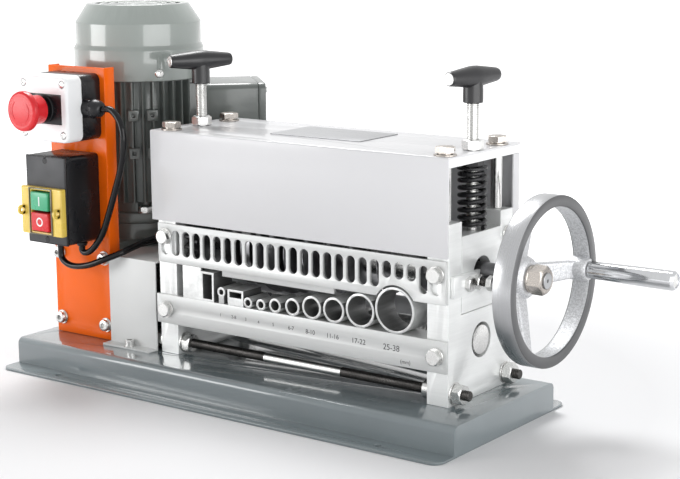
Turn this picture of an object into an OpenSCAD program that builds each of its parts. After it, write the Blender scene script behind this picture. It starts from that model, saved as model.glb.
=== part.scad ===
// Motor driven cable stripping bench machine with a hand wheel, in millimetres.
// The origin is on the floor under the middle of the base; +X points to the hand wheel,
// -Y to the operator and +Z up.

/* [Base] */
// Length of the base tray beyond the frame's length
base_over_len = 210; // [195:1:255]
// Width of the tray over its floor flanges
base_wid = 240; // [236:1:260]
// Width of the raised deck
deck_wid = 186; // [180:1:194]
// Height of the deck above the floor
deck_h = 30; // [26:1:40]
// Sheet thickness of the tray
tray_t = 2.5; // [2:0.1:3]
// Outer radius of the deck bends
tray_bend = 7; // [5:0.5:9]
// Corner radius of the floor flanges
flange_corner = 12; // [6:1:16]
// Diameter of the four holes in the floor flanges
flange_hole = 7; // [5:0.5:9]
// Distance between the flange holes along the base
flange_pitch = 422; // [380:2:480]

/* [Frame] */
// Centre of the roller frame along the base
frame_x = 67.5; // [64:0.5:70]
// Middle of the end plates from front to back
frame_y = 13; // [10:0.5:16]
// Length of the frame over both end plates
frame_len = 365; // [362:1:368]
// Thickness of an end plate
plate_t = 24; // [22:1:26]
// Depth of an end plate
plate_dep = 116; // [112:1:120]
// Height of the end plate arms above the deck
arm_h = 177; // [174:1:180]
// Width of the slot that guides a bearing block
slot_wid = 71; // [68:1:74]
// Height of the slot floor above the deck
slot_floor_h = 86.5; // [85:0.5:88]
// Height of the underside of the top plate above the deck
top_h = 230; // [226:1:236]
// Thickness of the top plate
top_t = 8; // [6:1:10]
// Thickness of the hood sheet
hood_t = 2; // [1.5:0.1:2.5]
// Height of the hood's front lower edge above the deck
hood_edge_h = 144.5; // [144:0.5:150]
// Depth of the hood from front to back
hood_dep = 130.5; // [126:0.5:134]
// Reach of the hood past the left end plate
hood_over = 7; // [0:1:10]
// Diameter of the pillars on the plate arms
pillar_d = 12; // [11:0.5:16]
// Diameter of the press screws
rod_d = 12; // [10:0.5:12]
// Diameter of the long tie rods
tie_d = 10; // [8:0.5:12]
// Height of the tie rods above the deck
tie_h = 12; // [11:0.5:14]

/* [Shafts] */
// Front to back place of both shafts
axis_y = 14.5; // [13.5:0.5:15.5]
// Height of the blade shaft above the deck
upper_h = 122; // [121.5:0.5:123]
// Height of the feed roller above the deck
lower_h = 55; // [54.5:0.5:56]
// Diameter of the blade shaft between its blocks
shaft_d = 25; // [23:0.5:27]
// Diameter of the blade shaft's journals
journal_d = 20; // [18:0.5:21]
// Outer diameter of a block bearing
block_brg_d = 42; // [40:1:44]
// Width of a block bearing
block_brg_w = 12; // [10:1:14]
// Height of a bearing block
block_h = 75; // [73:1:76]
// Diameter of the feed roller
roller_d = 25; // [23:0.5:26]
// Diameter of the feed roller's journals
roller_journal_d = 17; // [15:0.5:18]
// Outer diameter of a feed roller bearing
roller_brg_d = 35; // [34:0.5:37]
// Width of a feed roller bearing
roller_brg_w = 10; // [8:1:12]
// Number of teeth on the blade shaft's gear
upper_teeth = 28; // [26:1:30]
// Number of teeth on the feed roller's gear
lower_teeth = 12; // [12:1:14]
// Face width of both gears
gear_w = 12; // [8:1:13]
// Thickness of a cutter disc
disc_w = 6; // [4:0.5:7]

/* [Guides] */
// Outer diameter of the largest guide tube as a share of the room between the end plates
big_tube_share = 0.14385; // [0.135:0.0005:0.147]
// Wall of the guide tubes
tube_wall = 2.5; // [1.5:0.1:3]
// Length of a guide tube
tube_len = 30; // [20:1:32]
// Height of the guide bar's lower edge above the deck
bar_edge_h = 33.5; // [32:0.5:36]
// Height of the guide bar
bar_h = 31.5; // [29:0.5:33]
// Thickness of the guide bar and the slotted guard
panel_t = 3; // [2:0.5:4]
// Height of the slotted guard
guard_h = 42; // [41:0.5:43]
// Gap between the slotted guard and the hood
guard_gap = 2.5; // [1:0.5:4]
// Number of viewing slots
slot_count = 23; // [15:1:23]
// Distance between two viewing slots as a share of the frame length
slot_pitch_share = 0.0389; // [0.035:0.0001:0.0394]
// Width of a viewing slot
slot_w = 10.5; // [6:0.5:11]
// Height of a viewing slot
slot_h = 27; // [22:1:30]

/* [Hand wheel] */
// Outer diameter of the hand wheel
wheel_d = 164; // [150:2:180]
// Width of the wheel rim
rim_w = 20; // [16:1:24]
// Radial thickness of the wheel rim
rim_t = 11; // [9:1:14]
// Distance of the rim's outer face from the frame
wheel_reach = 80; // [78:1:90]
// Diameter of the wheel hub
hub_d = 44; // [38:1:50]
// Diameter of the crank grip
grip_d = 19; // [16:0.5:22]
// Length of the crank grip
grip_len = 90; // [80:1:110]
// Distance of the crank grip from the wheel axis
grip_r = 68; // [62:1:70]

/* [Press screws] */
// Length of a T grip
tee_len = 72; // [60:1:80]
// Largest diameter of a T grip
tee_mid_d = 21; // [20.5:0.5:26]
// Diameter of a T grip at its ends
tee_end_d = 13.5; // [10:0.5:16]
// Height of the T grip's axis above the hood
tee_h = 69.5; // [62:0.5:80]
// Turn of the left T grip from straight back
left_tee_turn = 25; // [0:1:90]
// Turn of the right T grip from straight back
right_tee_turn = 8; // [0:1:90]
// Outer diameter of a press spring
spring_d = 29; // [27:0.5:30]
// Wire of a press spring
wire_d = 4.5; // [3.5:0.1:4.6]
// Number of turns in a press spring
spring_turns = 8; // [7:1:8]

/* [Drive] */
// Distance of the motor axis and control column from the frame
drive_gap = 118; // [116:0.5:121]
// Front to back place of the motor axis
motor_y = 58.5; // [57:0.5:60]
// Width of the gearbox housing
gbox_wid = 79; // [76:1:79]
// Front to back depth of the gearbox housing
gbox_dep = 126; // [124:1:130]
// Height of the gearbox housing
gbox_h = 107; // [105:1:110]
// Diameter of the motor flange
flange_d = 140; // [136:1:144]
// Height of the motor flange and its shield
shield_h = 22; // [20:1:24]
// Diameter of the motor over its fins
fin_d = 138; // [130:1:140]
// Height of the finned motor frame
stator_h = 136; // [130:1:150]
// Diameter of the fan cowl's skirt
cowl_d = 146; // [142:1:150]
// Height of the fan cowl
cowl_h = 82; // [76:1:90]
// Width of the terminal box
term_wid = 92; // [80:1:96]
// Height of the terminal box
term_h = 94; // [80:1:100]
// Reach of the terminal box lid from the motor axis
term_reach = 139; // [136:0.5:150]

/* [Controls] */
// Width of the control column
column_wid = 85; // [84.5:0.5:87]
// Height of the control column above the deck
column_h = 301; // [296:1:310]
// Depth of the column's side flanges
column_dep = 15.5; // [12:0.5:18]
// Sheet thickness of the column
column_t = 2.5; // [2:0.1:2.6]
// Width of the emergency stop box
estop_wid = 72; // [66:1:76]
// Height of the emergency stop box
estop_h = 71; // [66:1:76]
// Depth of the emergency stop box
estop_dep = 50; // [44:1:56]
// Diameter of the mushroom button
mushroom_d = 43; // [36:1:46]
// Width of the switch box
switch_wid = 60; // [56:1:64]
// Height of the switch box
switch_h = 96; // [90:1:98]
// Depth of the switch box
switch_dep = 51; // [44:1:56]
// Diameter of the leads
lead_d = 7; // [6:0.5:7.5]

/* [Hidden] */
$fn = 64;

// Overrun of every cut, and the clearances
over = 1;
bolt_gap = 0.2;
run_gap = 0.05;
slide_gap = 0.3;
seat_gap = 0.3;
block_seat = 0.7;
gear_side = 3;

// Frame edges and levels
fx0 = frame_x - frame_len / 2;
fx1 = frame_x + frame_len / 2;
base_len = frame_len + base_over_len;
drive_x = fx0 - drive_gap;
left_in = fx0 + plate_t;
right_in = fx1 - plate_t;
plate_y0 = frame_y - plate_dep / 2;
plate_y1 = frame_y + plate_dep / 2;
slot_y0 = frame_y - slot_wid / 2;
slot_y1 = frame_y + slot_wid / 2;
arm_w = (plate_dep - slot_wid) / 2;
arm_z = deck_h + arm_h;
slot_z = deck_h + slot_floor_h;
top_z = deck_h + top_h;
hood_z = top_z + top_t;
hood_top = hood_z + hood_t;
arm_ys = [plate_y0 + arm_w / 2, plate_y1 - arm_w / 2];
plate_xs = [fx0 + plate_t / 2, fx1 - plate_t / 2];
tie_z = deck_h + tie_h;
side_bolt_rise = 153;
side_bolt_z = deck_h + side_bolt_rise;
rear_z0 = tie_z + 1.5 * tie_h;
rear_h = 40;
rear_bolt_z = rear_z0 + rear_h / 2;
outlet_h = 12;
outlet_share = 0.335;
outlet_x1 = fx1 - outlet_share * frame_len;

// Fastener shares of the thread diameter
bolt_d = 8;
screw_d = 4;
hex_share = 1.6;
top_bolt_k_share = 1.38;
front_bolt_k_share = 1.12;
front_slot_share = 1.5;
head_share = 0.65;
nut_share = 0.83;
washer_share = 2;
washer_t_share = 0.2;
bolt_grip = 14;

// Shafts
upper_z = deck_h + upper_h;
lower_z = deck_h + lower_h;
shaft_gap = upper_z - lower_z;
block_z0 = slot_z + block_seat;
block_z1 = block_z0 + block_h;
block_hole_d = 32;
block_in = slide_gap;
shoulder_gap = 0.5;
nut_thread_d = 16;
hub_w = 19;
hub_set = 26;
hub_x0 = fx1 + wheel_reach - hub_w - hub_set;
hub_x1 = hub_x0 + hub_w;
spring_washer_t = 3;
wheel_nut_h = 14;
wheel_nut_af = 25;
shaft_end_x = hub_x1 + spring_washer_t + wheel_nut_h + rim_w / 20;

// Gears
gear_module = 2 * shaft_gap / (upper_teeth + lower_teeth);
gear_angle = 25;
backlash = 0.3;
dedendum_share = 1.22;
gear_x0 = left_in + gear_side;

// Guides and their stations along the blade shaft, from right to left
bar_z0 = deck_h + bar_edge_h;
bar_z1 = bar_z0 + bar_h;
bar_y0 = plate_y0 - panel_t;
inner_len = right_in - left_in;
big_tube_d = big_tube_share * inner_len;
slot_pitch = slot_pitch_share * frame_len;
tube_od_shares = [1, 0.75, 0.57, 0.52, 0.4, 0.33, 0.26, 0.25];
small_tube_share = 0.03344;
flat_share = 0.06625;
channel_share = 0.0552;
side_plate_share = 0.07886;
tube_gap_share = 0.01577;
tube_edge_share = 0.04006;
strap_share = 0.4543;
strap_set_share = 0.235;
small_tube_d = small_tube_share * inner_len;
small_tube_rise = 7;
flat_wid = flat_share * inner_len;
flat_h = 11;
flat_rise = 6;
channel_wid = channel_share * inner_len;
channel_h = 31.5;
side_plate_wid = side_plate_share * inner_len;
side_plate_h = 35;
tube_gap = tube_gap_share * inner_len;
tube_edge = tube_edge_share * inner_len;
gap_shares = [0.18, 0.38, 0.48, 0.68, 1.12, 1, 1.08, 0.06, 0.64, 0.96, 0];
station_wids = concat([for (s = tube_od_shares) s * big_tube_d],
    [flat_wid, small_tube_d, channel_wid, side_plate_wid]);
function sum_to(list, n) = n <= 0 ? 0 : list[n - 1] + sum_to(list, n - 1);
function station_x(i) = right_in - tube_edge - sum_to(station_wids, i)
    - tube_gap * sum_to(gap_shares, i) - station_wids[i] / 2;
round_count = len(tube_od_shares);
flat_i = round_count;
small_i = round_count + 1;
channel_i = round_count + 2;
side_i = round_count + 3;
disc_count = round_count + 3;
big_tube_x = station_x(0);
openings = concat([for (s = tube_od_shares) s * big_tube_d - 2 * tube_wall],
    [flat_h - 2 * tube_wall + flat_rise, small_tube_d - 2 * tube_wall + small_tube_rise,
     channel_h - 2 * tube_wall]);
bite_share = 0.7;
function disc_r(i) = shaft_gap - roller_d / 2 - bite_share * openings[i];
function disc_wid(i) = i == flat_i ? 2 * disc_w : disc_w;
groove_d = 2.5;
spacer_d = 34;

// Slotted guard
guard_z1 = deck_h + hood_edge_h - guard_gap;
guard_z0 = guard_z1 - guard_h;
guard_edge = 1.6;
slot_top_drop = 6.5;
arch_gap = 2;
guard_bolt_drop = 13.5;
strap_len = strap_share * inner_len;
strap_w = 8;
strap_drop = 6.4;
strap_x1 = big_tube_x - strap_set_share * inner_len;

// Hand wheel
wheel_x1 = fx1 + wheel_reach;
wheel_x0 = wheel_x1 - rim_w;
spoke_root_w = 20;
spoke_tip_w = 15;
spoke_t = 9;
boss_d = 24;
pin_d = 10;
pin_head_d = 14;
pin_head_h = 3;
grip_gap = 1;
grip_chamfer = 1.5;

// Press screws
tee_z = hood_top + tee_h;
tee_collar_d = 19.5;
tee_collar_drop = 24.5;
thin_nut_h = 6;
seat_t = 2.5;
seat_d = 30;
seat_z = top_z - thin_nut_h - seat_t;
screw_tip = 3;
tip_d = 10;
tip_hole_depth = 15;
nut_af = 18.5;
nut_h = 10;

// Press spring helix
spring_z0 = block_z1 + seat_gap;
spring_z1 = seat_z - seat_gap;
spring_rings = 8;
spring_sides = 6;
end_pitch = wire_d * 1.14;
spring_len = spring_z1 - spring_z0 - wire_d;
mid_pitch = (spring_len - 2 * end_pitch) / (spring_turns - 2);
function coil_z(t) = t < 1 ? end_pitch * t :
    t < spring_turns - 1 ? end_pitch + mid_pitch * (t - 1) :
    spring_len - end_pitch * (spring_turns - t);
function coil_c(t) = [(spring_d - wire_d) / 2 * cos(360 * t), (spring_d - wire_d) / 2 * sin(360 * t), coil_z(t)];
function coil_ring(t) = [for (k = [0 : spring_sides - 1])
    let (a = 360 * k / spring_sides)
    coil_c(t) + wire_d / 2 * [cos(a) * cos(360 * t), cos(a) * sin(360 * t), sin(a)]];
coil_steps = spring_turns * spring_rings;
coil_rings = [for (i = [0 : coil_steps]) coil_ring(i / spring_rings)];
coil_gap = min([for (i = [0 : coil_steps - spring_rings]) for (p = coil_rings[i])
    for (q = coil_rings[i + spring_rings]) norm(p - q)]);
echo("Least gap between the turns of a press spring", coil_gap);

// Feed roller end, drive coupling and its guard
end_disc_d = 29;
end_disc_t = 5;
coupling_d = 40;
cg_clear = 5;
cg_lap = 5.5;
cg_x1 = fx0 - cg_clear;
cg_x0 = drive_x + gbox_wid / 2 + cg_lap;
cg_len = cg_x1 - cg_x0;
coupling_share = 0.295;
coupling_gap_share = 0.118;
coupling_w = coupling_share * cg_len;
coupling_gap = coupling_gap_share * cg_len;
cg_front = 2.5;
cg_back = 5.5;
cg_y0 = plate_y0 - cg_front;
cg_y1 = plate_y1 + cg_back;
cg_h = 98;
cg_t = 2;
cg_foot = 13;
cg_bolt_d = 6;

// Gearbox and worm drive
gbox_x0 = drive_x - gbox_wid / 2;
gbox_x1 = drive_x + gbox_wid / 2;
gbox_set = 5;
gbox_y0 = plate_y0 + gbox_set;
gbox_y1 = gbox_y0 + gbox_dep;
gbox_z1 = deck_h + gbox_h;
gbox_wall = 7;
gbox_lip = 18;
out_d = 20;
cover_d = 80;
cover_t = 6;
worm_d = 28;
worm_len = 60;
worm_gap = 0.5;
worm_wheel_w = 26;
motor_shaft_d = 14;

// Motor levels
flange_z0 = gbox_z1 + gbox_lip;
stator_z0 = flange_z0 + shield_h;
cowl_z0 = stator_z0 + stator_h;
core_d = 120;
fin_t = 2.4;
fin_step = 10;
bore_d = 76;
rotor_gap = 0.5;
rotor_len = 90;
shield_t = 9;
cowl_t = 1.6;
cowl_neck_d = 141;
cowl_top_d = 114;
cowl_step_share = 0.4;
cowl_shoulder_share = 0.75;
cowl_screw_h = 8;
cowl_turn = -30;
pad_w = 12;
pad_side = 10.5;
pad_shares = [0.41, 0.72];
spigot_h = 14;
fan_d = 120;
fan_h = 24;
fan_blades = 7;
term_turn = 45;
term_gap = 3;
term_x0 = fin_d / 2 + term_gap;
term_lid_t = 9;
term_wall = 4;
term_r = 8;
term_drop = 7;
term_z1 = cowl_z0 - term_drop;
term_z0 = term_z1 - term_h;

// Control column, boxes and buttons
col_y0 = gbox_y0 - column_t;
col_z1 = deck_h + column_h;
col_bolt_x = 34;
col_bolt_hs = [17, 92];
estop_rise = 259.5;
estop_z = deck_h + estop_rise;
estop_y0 = col_y0 - estop_dep;
estop_cover_t = 22;
estop_r = 8;
estop_plate_wid = 55;
estop_plate_h = 32.5;
estop_plate_t = 1.2;
estop_screw_x = 29;
estop_screw_z = 27;
stem_d = 22;
mushroom_gap = 7;
mushroom_t = 26;
waist_d = 31;
switch_rise = 112.5;
switch_z0 = deck_h + switch_rise;
switch_z1 = switch_z0 + switch_h;
switch_y0 = col_y0 - switch_dep;
switch_plate_t = 3;
switch_r = 5;
bezel_wid = 52;
bezel_h = 52;
bezel_t = 8;
bezel_rise = 37;
bezel_z = switch_z0 + bezel_rise;
key_wid = 26;
key_h = 20;
key_apart = 1.2;
key_rim = 1.6;
key_gap = 0.4;
key_out = 3;
lug_d = 9;

// Leads, laid by hand for a motor axis at route_x
gland_d = 20;
gland_len = 22;
gland_nose_d = 13;
grommet_d = 12;
grommet_h = 4;
lead_sides = 10;
lead_step = 15;
estop_gland = [drive_x + estop_wid / 2, col_y0 - gland_d, estop_z];
route_x = -233;
estop_route = [
    [-175, -62.5, 289.5], [-162, -62.5, 289.5], [-150, -62.5, 277.5], [-145.5, -63, 258],
    [-150.5, -63, 229], [-161, -64, 198], [-176, -65, 160], [-188, -65, 143],
    [-198, -65, 134], [-206, -65, 131.5], [-210, -65, 134], [-210, -65, 138.5]
];
motor_route = [
    [-243, -65, 138.5], [-243, -65, 132], [-242, -65, 122], [-234, -65, 116],
    [-221, -65, 114.5], [-200, -65, 118.5], [-180, -60, 126.5], [-165, -51, 133.5],
    [-165, -30, 137], [-161, -12, 141], [-154, 20, 146], [-148, 60, 155],
    [-149, 95, 164], [-155, 118, 172], [-160.5, 128, 179], [-161.6, 129.9, 185],
    [-161.6, 129.9, 190]
];

// Helpers: solids between two limits on each axis
module box(x0, x1, y0, y1, z0, z1) {
    translate([x0, y0, z0]) cube([x1 - x0, y1 - y0, z1 - z0]);
}
module x_cyl(d, x0, x1, y, z) {
    translate([x0, y, z]) rotate([0, 90, 0]) cylinder(d = d, h = x1 - x0);
}
module y_cyl(d, y0, y1, x, z) {
    translate([x, y0, z]) rotate([-90, 0, 0]) cylinder(d = d, h = y1 - y0);
}
module z_cyl(d, z0, z1, x, y) {
    translate([x, y, z0]) cylinder(d = d, h = z1 - z0);
}
// Outline drawn as (y, z) and carried along X
module x_prism(x0, x1) {
    translate([x0, 0, 0]) rotate([90, 0, 90]) linear_extrude(x1 - x0) children();
}
// Outline drawn as (x, z) and carried along Y
module y_prism(y0, y1) {
    translate([0, y1, 0]) rotate([90, 0, 0]) linear_extrude(y1 - y0) children();
}
module round_rect(w, h, r) {
    square([w - 2 * r, h], center = true);
    square([w, h - 2 * r], center = true);
    for (x = [-1, 1], y = [-1, 1]) translate([x * (w / 2 - r), y * (h / 2 - r)]) circle(r);
}
module slot_2d(w, h) {
    square([w, h - w], center = true);
    for (s = [-1, 1]) translate([0, s * (h - w) / 2]) circle(d = w);
}
// The same piece again at the other end of the frame
module both_ends() {
    children();
    translate([2 * frame_x, 0, 0]) mirror([1, 0, 0]) children();
}
// Bolts point along +Z with the underside of the head or washer at zero
module hex_bolt(d, len, washer = true, k = 1) {
    wt = washer ? d * washer_t_share : 0;
    head_h = k * d * head_share;
    if (washer) difference() {
        translate([0, 0, -wt]) cylinder(d = k * d * washer_share, h = wt);
        translate([0, 0, -wt - over]) cylinder(d = d + 2 * bolt_gap, h = wt + 2 * over);
    }
    translate([0, 0, -wt]) {
        cylinder(d = d, h = len + wt);
        translate([0, 0, -head_h]) cylinder(d = k * d * hex_share / cos(30), h = head_h, $fn = 6);
    }
}
module pan_screw(d, len) {
    cylinder(d = d, h = len);
    translate([0, 0, -d / 2]) cylinder(d = 2 * d, h = d / 2);
}
module socket_bolt(d, len) {
    cylinder(d = d, h = len);
    difference() {
        translate([0, 0, -d * head_share]) cylinder(d = d * hex_share, h = d * head_share);
        translate([0, 0, -d * head_share - over]) cylinder(d = d * 0.9, h = d * head_share / 2 + over, $fn = 6);
    }
}
module nut(d, af, h, gap = bolt_gap) {
    difference() {
        cylinder(d = af / cos(30), h = h, $fn = 6);
        translate([0, 0, -over]) cylinder(d = d + 2 * gap, h = h + 2 * over);
    }
}
module along_x() { rotate([0, 90, 0]) children(); }
module along_minus_x() { rotate([0, -90, 0]) children(); }
module along_y() { rotate([-90, 0, 0]) children(); }
module ring(d_out, d_in, h) {
    difference() {
        cylinder(d = d_out, h = h);
        translate([0, 0, -over]) cylinder(d = d_in, h = h + 2 * over);
    }
}

// Places of the fasteners that several pieces share
base_bolt_ys = [frame_y - plate_dep / 5, frame_y + plate_dep / 5];
bar_bolt_z = (bar_z0 + bar_z1) / 2;
guard_bolt_z = guard_z1 - guard_bolt_drop;
flange_hole_y = (base_wid + deck_wid) / 4;
gbox_bolt_xs = [drive_x - gbox_wid / 4, drive_x + gbox_wid / 4];
gbox_bolt_ys = [gbox_y0 + gbox_dep / 5, gbox_y1 - gbox_dep / 5];
cg_screw_ys = [cg_y0 - cg_foot / 2, cg_y1 + cg_foot / 2];
cg_mid = (cg_x0 + cg_x1) / 2;

// Base
module deck_outline(inset) {
    intersection() {
        round_rect(deck_wid - 2 * inset, 2 * (deck_h - inset), tray_bend - inset);
        translate([-base_wid / 2, 0]) square([base_wid, deck_h]);
    }
}
module base_tray() {
    color("slategray") difference() {
        union() {
            difference() {
                x_prism(-base_len / 2, base_len / 2) deck_outline(0);
                x_prism(-base_len / 2 + tray_t, base_len / 2 - tray_t) deck_outline(tray_t);
                translate([-base_len / 2 + tray_t, tray_t - deck_wid / 2, -over])
                    cube([base_len - 2 * tray_t, deck_wid - 2 * tray_t, deck_h / 2]);
            }
            linear_extrude(tray_t) difference() {
                round_rect(base_len, base_wid, flange_corner);
                square([base_len + 2 * over, deck_wid - 2 * tray_t], center = true);
            }
        }
        for (x = [-1, 1], y = [-1, 1])
            z_cyl(flange_hole, -over, tray_t + over, x * flange_pitch / 2, y * flange_hole_y);
        for (x = plate_xs, y = base_bolt_ys) z_cyl(bolt_d + 2 * bolt_gap, deck_h - 2 * tray_t, deck_h + over, x, y);
        for (x = gbox_bolt_xs, y = gbox_bolt_ys)
            z_cyl(bolt_d + 2 * bolt_gap, deck_h - 2 * tray_t, deck_h + over, x, y);
        for (y = cg_screw_ys) z_cyl(cg_bolt_d + 2 * bolt_gap, deck_h - 2 * tray_t, deck_h + over, cg_mid, y);
    }
}

// End plates with their open slots
module end_plate() {
    difference() {
        x_prism(right_in, fx1) polygon([
            [plate_y0, deck_h], [plate_y1, deck_h], [plate_y1, arm_z], [slot_y1, arm_z],
            [slot_y1, slot_z], [slot_y0, slot_z], [slot_y0, arm_z], [plate_y0, arm_z]
        ]);
        x_cyl(roller_brg_d, right_in - over, fx1 + over, axis_y, lower_z);
        for (y = arm_ys) {
            z_cyl(bolt_d + 2 * bolt_gap, arm_z - bolt_grip - over, arm_z + over, plate_xs[1], y);
            x_cyl(tie_d + 2 * bolt_gap, right_in - over, fx1 + over, y, tie_z);
        }
        x_cyl(bolt_d + 2 * bolt_gap, fx1 - bolt_grip, fx1 + over, arm_ys[1], side_bolt_z);
        y_cyl(bolt_d + 2 * bolt_gap, plate_y1 - bolt_grip, plate_y1 + over, plate_xs[1], rear_bolt_z);
        for (y = base_bolt_ys)
            z_cyl(bolt_d + 2 * bolt_gap, deck_h - over, deck_h + bolt_grip + over, plate_xs[1], y);
        for (z = [bar_bolt_z, guard_bolt_z])
            y_cyl(bolt_d + 2 * bolt_gap, plate_y0 - over, plate_y0 + bolt_grip + over, plate_xs[1], z);
    }
}
module right_end_plate() { color("gainsboro") end_plate(); }
module left_end_plate() {
    color("gainsboro") translate([2 * frame_x, 0, 0]) mirror([1, 0, 0]) end_plate();
}
module top_plate() {
    color("gainsboro") difference() {
        box(fx0, fx1, plate_y0, plate_y0 + hood_dep - 2 * hood_t, top_z, hood_z);
        for (x = plate_xs) {
            for (y = arm_ys) z_cyl(bolt_d + 2 * bolt_gap, top_z - over, hood_z + over, x, y);
            z_cyl(rod_d + 2 * slide_gap, top_z - over, hood_z + over, x, axis_y);
        }
    }
}
module hood() {
    front = plate_y0 - hood_t;
    color("whitesmoke") difference() {
        x_prism(fx0 - hood_over, fx1) union() {
            translate([front, deck_h + hood_edge_h]) square([hood_t, hood_top - hood_t - deck_h - hood_edge_h]);
            difference() {
                translate([front, hood_z - hood_t]) square([hood_dep + hood_t, 2 * hood_t]);
                translate([plate_y0, hood_z - 2 * hood_t]) square([hood_dep + over, 2 * hood_t]);
                translate([front - over, hood_top - hood_t]) square([hood_t + over, hood_t + over]);
            }
            intersection() {
                translate([front + hood_t, hood_z]) circle(hood_t);
                translate([front, hood_z]) square(hood_t);
            }
        }
        for (x = plate_xs) {
            for (y = arm_ys) z_cyl(bolt_d + 2 * bolt_gap, hood_z - over, hood_top + over, x, y);
            z_cyl(rod_d + 2 * slide_gap, hood_z - over, hood_top + over, x, axis_y);
        }
    }
}
module back_cover() {
    y1 = plate_y0 + hood_dep;
    y0 = y1 - hood_t;
    edge_z = slot_z + 3 * bolt_d;
    arm_back = plate_y1 + seat_gap;
    color("lightgray") difference() {
        union() {
            box(fx0 - hood_over, fx1, y0 - hood_t, y0, edge_z, hood_z);
            box(fx0 - hood_over, outlet_x1, y0 - hood_t, y0, rear_z0 + rear_h + outlet_h, edge_z);
            for (x = [fx0 - hood_over, fx1 - hood_t])
                x_prism(x, x + hood_t) polygon([
                    [arm_back, edge_z], [y0, edge_z], [y0, top_z - seat_gap],
                    [arm_ys[1] + pillar_d, top_z - seat_gap], [arm_ys[1] + pillar_d, arm_z + seat_gap],
                    [arm_back, arm_z + seat_gap]
                ]);
        }
        box(fx0 - hood_over - over, fx1 + over, y0 - hood_t - over, y0, top_z - seat_gap, hood_z + over);
    }
    color("lightgray") difference() {
        box(fx0 + guard_edge, fx1 - guard_edge, plate_y1, plate_y1 + panel_t, rear_z0, rear_z0 + rear_h);
        for (x = plate_xs)
            y_cyl(bolt_d + 2 * bolt_gap, plate_y1 - over, plate_y1 + panel_t + over, x, rear_bolt_z);
    }
}
module pillars() {
    color("silver") for (x = plate_xs, y = arm_ys) difference() {
        union() {
            z_cyl(pillar_d, arm_z, top_z, x, y);
            z_cyl(bolt_d, arm_z - bolt_grip, arm_z, x, y);
        }
        z_cyl(bolt_d + 2 * bolt_gap, top_z - bolt_grip - over, top_z + over, x, y);
    }
}
module hex_bolts() {
    washer_t = bolt_d * washer_t_share;
    color("silver") {
        for (x = plate_xs, y = arm_ys)
            translate([x, y, hood_top]) rotate([180, 0, 0])
                hex_bolt(bolt_d, top_t + hood_t + bolt_grip, k = top_bolt_k_share);
        for (x = plate_xs, z = [bar_bolt_z, guard_bolt_z])
            translate([x, bar_y0, z]) along_y()
                hex_bolt(bolt_d, panel_t + bolt_grip, k = front_bolt_k_share);
        for (x = plate_xs) translate([x, plate_y1 + panel_t, rear_bolt_z]) rotate([90, 0, 0])
            hex_bolt(bolt_d, panel_t + bolt_grip - seat_gap);
        both_ends() translate([fx1, arm_ys[1], side_bolt_z]) along_minus_x()
            hex_bolt(bolt_d, bolt_grip - seat_gap);
        for (x = plate_xs, y = base_bolt_ys)
            translate([x, y, deck_h - tray_t]) hex_bolt(bolt_d, tray_t + bolt_grip);
        for (x = gbox_bolt_xs, y = gbox_bolt_ys)
            translate([x, y, deck_h - tray_t]) hex_bolt(bolt_d, tray_t + gbox_wall);
    }
}
plate_label = [114, 68, 0.8];
label_x = 61;
label_y = 31;
module nameplate_blank() {
    color("dimgray") translate([label_x, label_y, hood_top]) linear_extrude(plate_label[2])
        round_rect(plate_label[0], plate_label[1], 2 * plate_label[2]);
}

// Long rods across the foot of the frame
rod_out = 18;
rod_collar_d = 20;
rod_collar_w = 8;
module tie_rods() {
    color("silver") for (y = arm_ys) {
        x_cyl(tie_d, fx0 - rod_out, fx1 + rod_out, y, tie_z);
        x_cyl(rod_collar_d, right_in - rod_collar_w, right_in, y, tie_z);
    }
}
module hex_nuts() {
    color("silver") {
        for (y = arm_ys) {
            translate([fx1, y, tie_z]) along_x() nut(tie_d, nut_af, nut_h);
            translate([fx0, y, tie_z]) along_minus_x() nut(tie_d, nut_af, nut_h);
            translate([left_in, y, tie_z]) along_x() nut(tie_d, nut_af, nut_h);
        }
        for (x = plate_xs) {
            translate([x, axis_y, hood_top]) nut(rod_d, nut_af, nut_h, run_gap);
            translate([x, axis_y, top_z - thin_nut_h]) nut(rod_d, nut_af, thin_nut_h, run_gap);
            translate([x, axis_y, seat_z]) ring(seat_d, rod_d + 2 * slide_gap, seat_t);
        }
    }
}

// Slotted guard over the front
module guard_plate() {
    mid_z = guard_z1 - slot_top_drop - slot_h / 2;
    short_h = slot_h - bar_h / 3;
    arch_r = big_tube_d / 2 + arch_gap;
    color("whitesmoke") union() {
        difference() {
            box(fx0 + guard_edge, fx1 - guard_edge, bar_y0, plate_y0, guard_z0, guard_z1);
            for (i = [0 : slot_count - 1]) {
                x = frame_x + (i - (slot_count - 1) / 2) * slot_pitch;
                near = abs(x - big_tube_x) < arch_r - slot_w / 3;
                h = near ? short_h : slot_h;
                y_prism(bar_y0 - over, plate_y0 + over)
                    translate([x, guard_z1 - slot_top_drop - h / 2]) slot_2d(slot_w, h);
            }
            for (x = plate_xs) y_prism(bar_y0 - over, plate_y0 + over)
                translate([x, mid_z]) slot_2d(bolt_d * front_slot_share, slot_h);
            y_cyl(2 * arch_r, bar_y0 - over, plate_y0 + over, big_tube_x, bar_z1 + big_tube_d / 2);
        }
        box(strap_x1 - strap_len, strap_x1, plate_y0, plate_y0 + panel_t,
            guard_z0 - strap_drop, guard_z0 - strap_drop + strap_w);
    }
}

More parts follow.
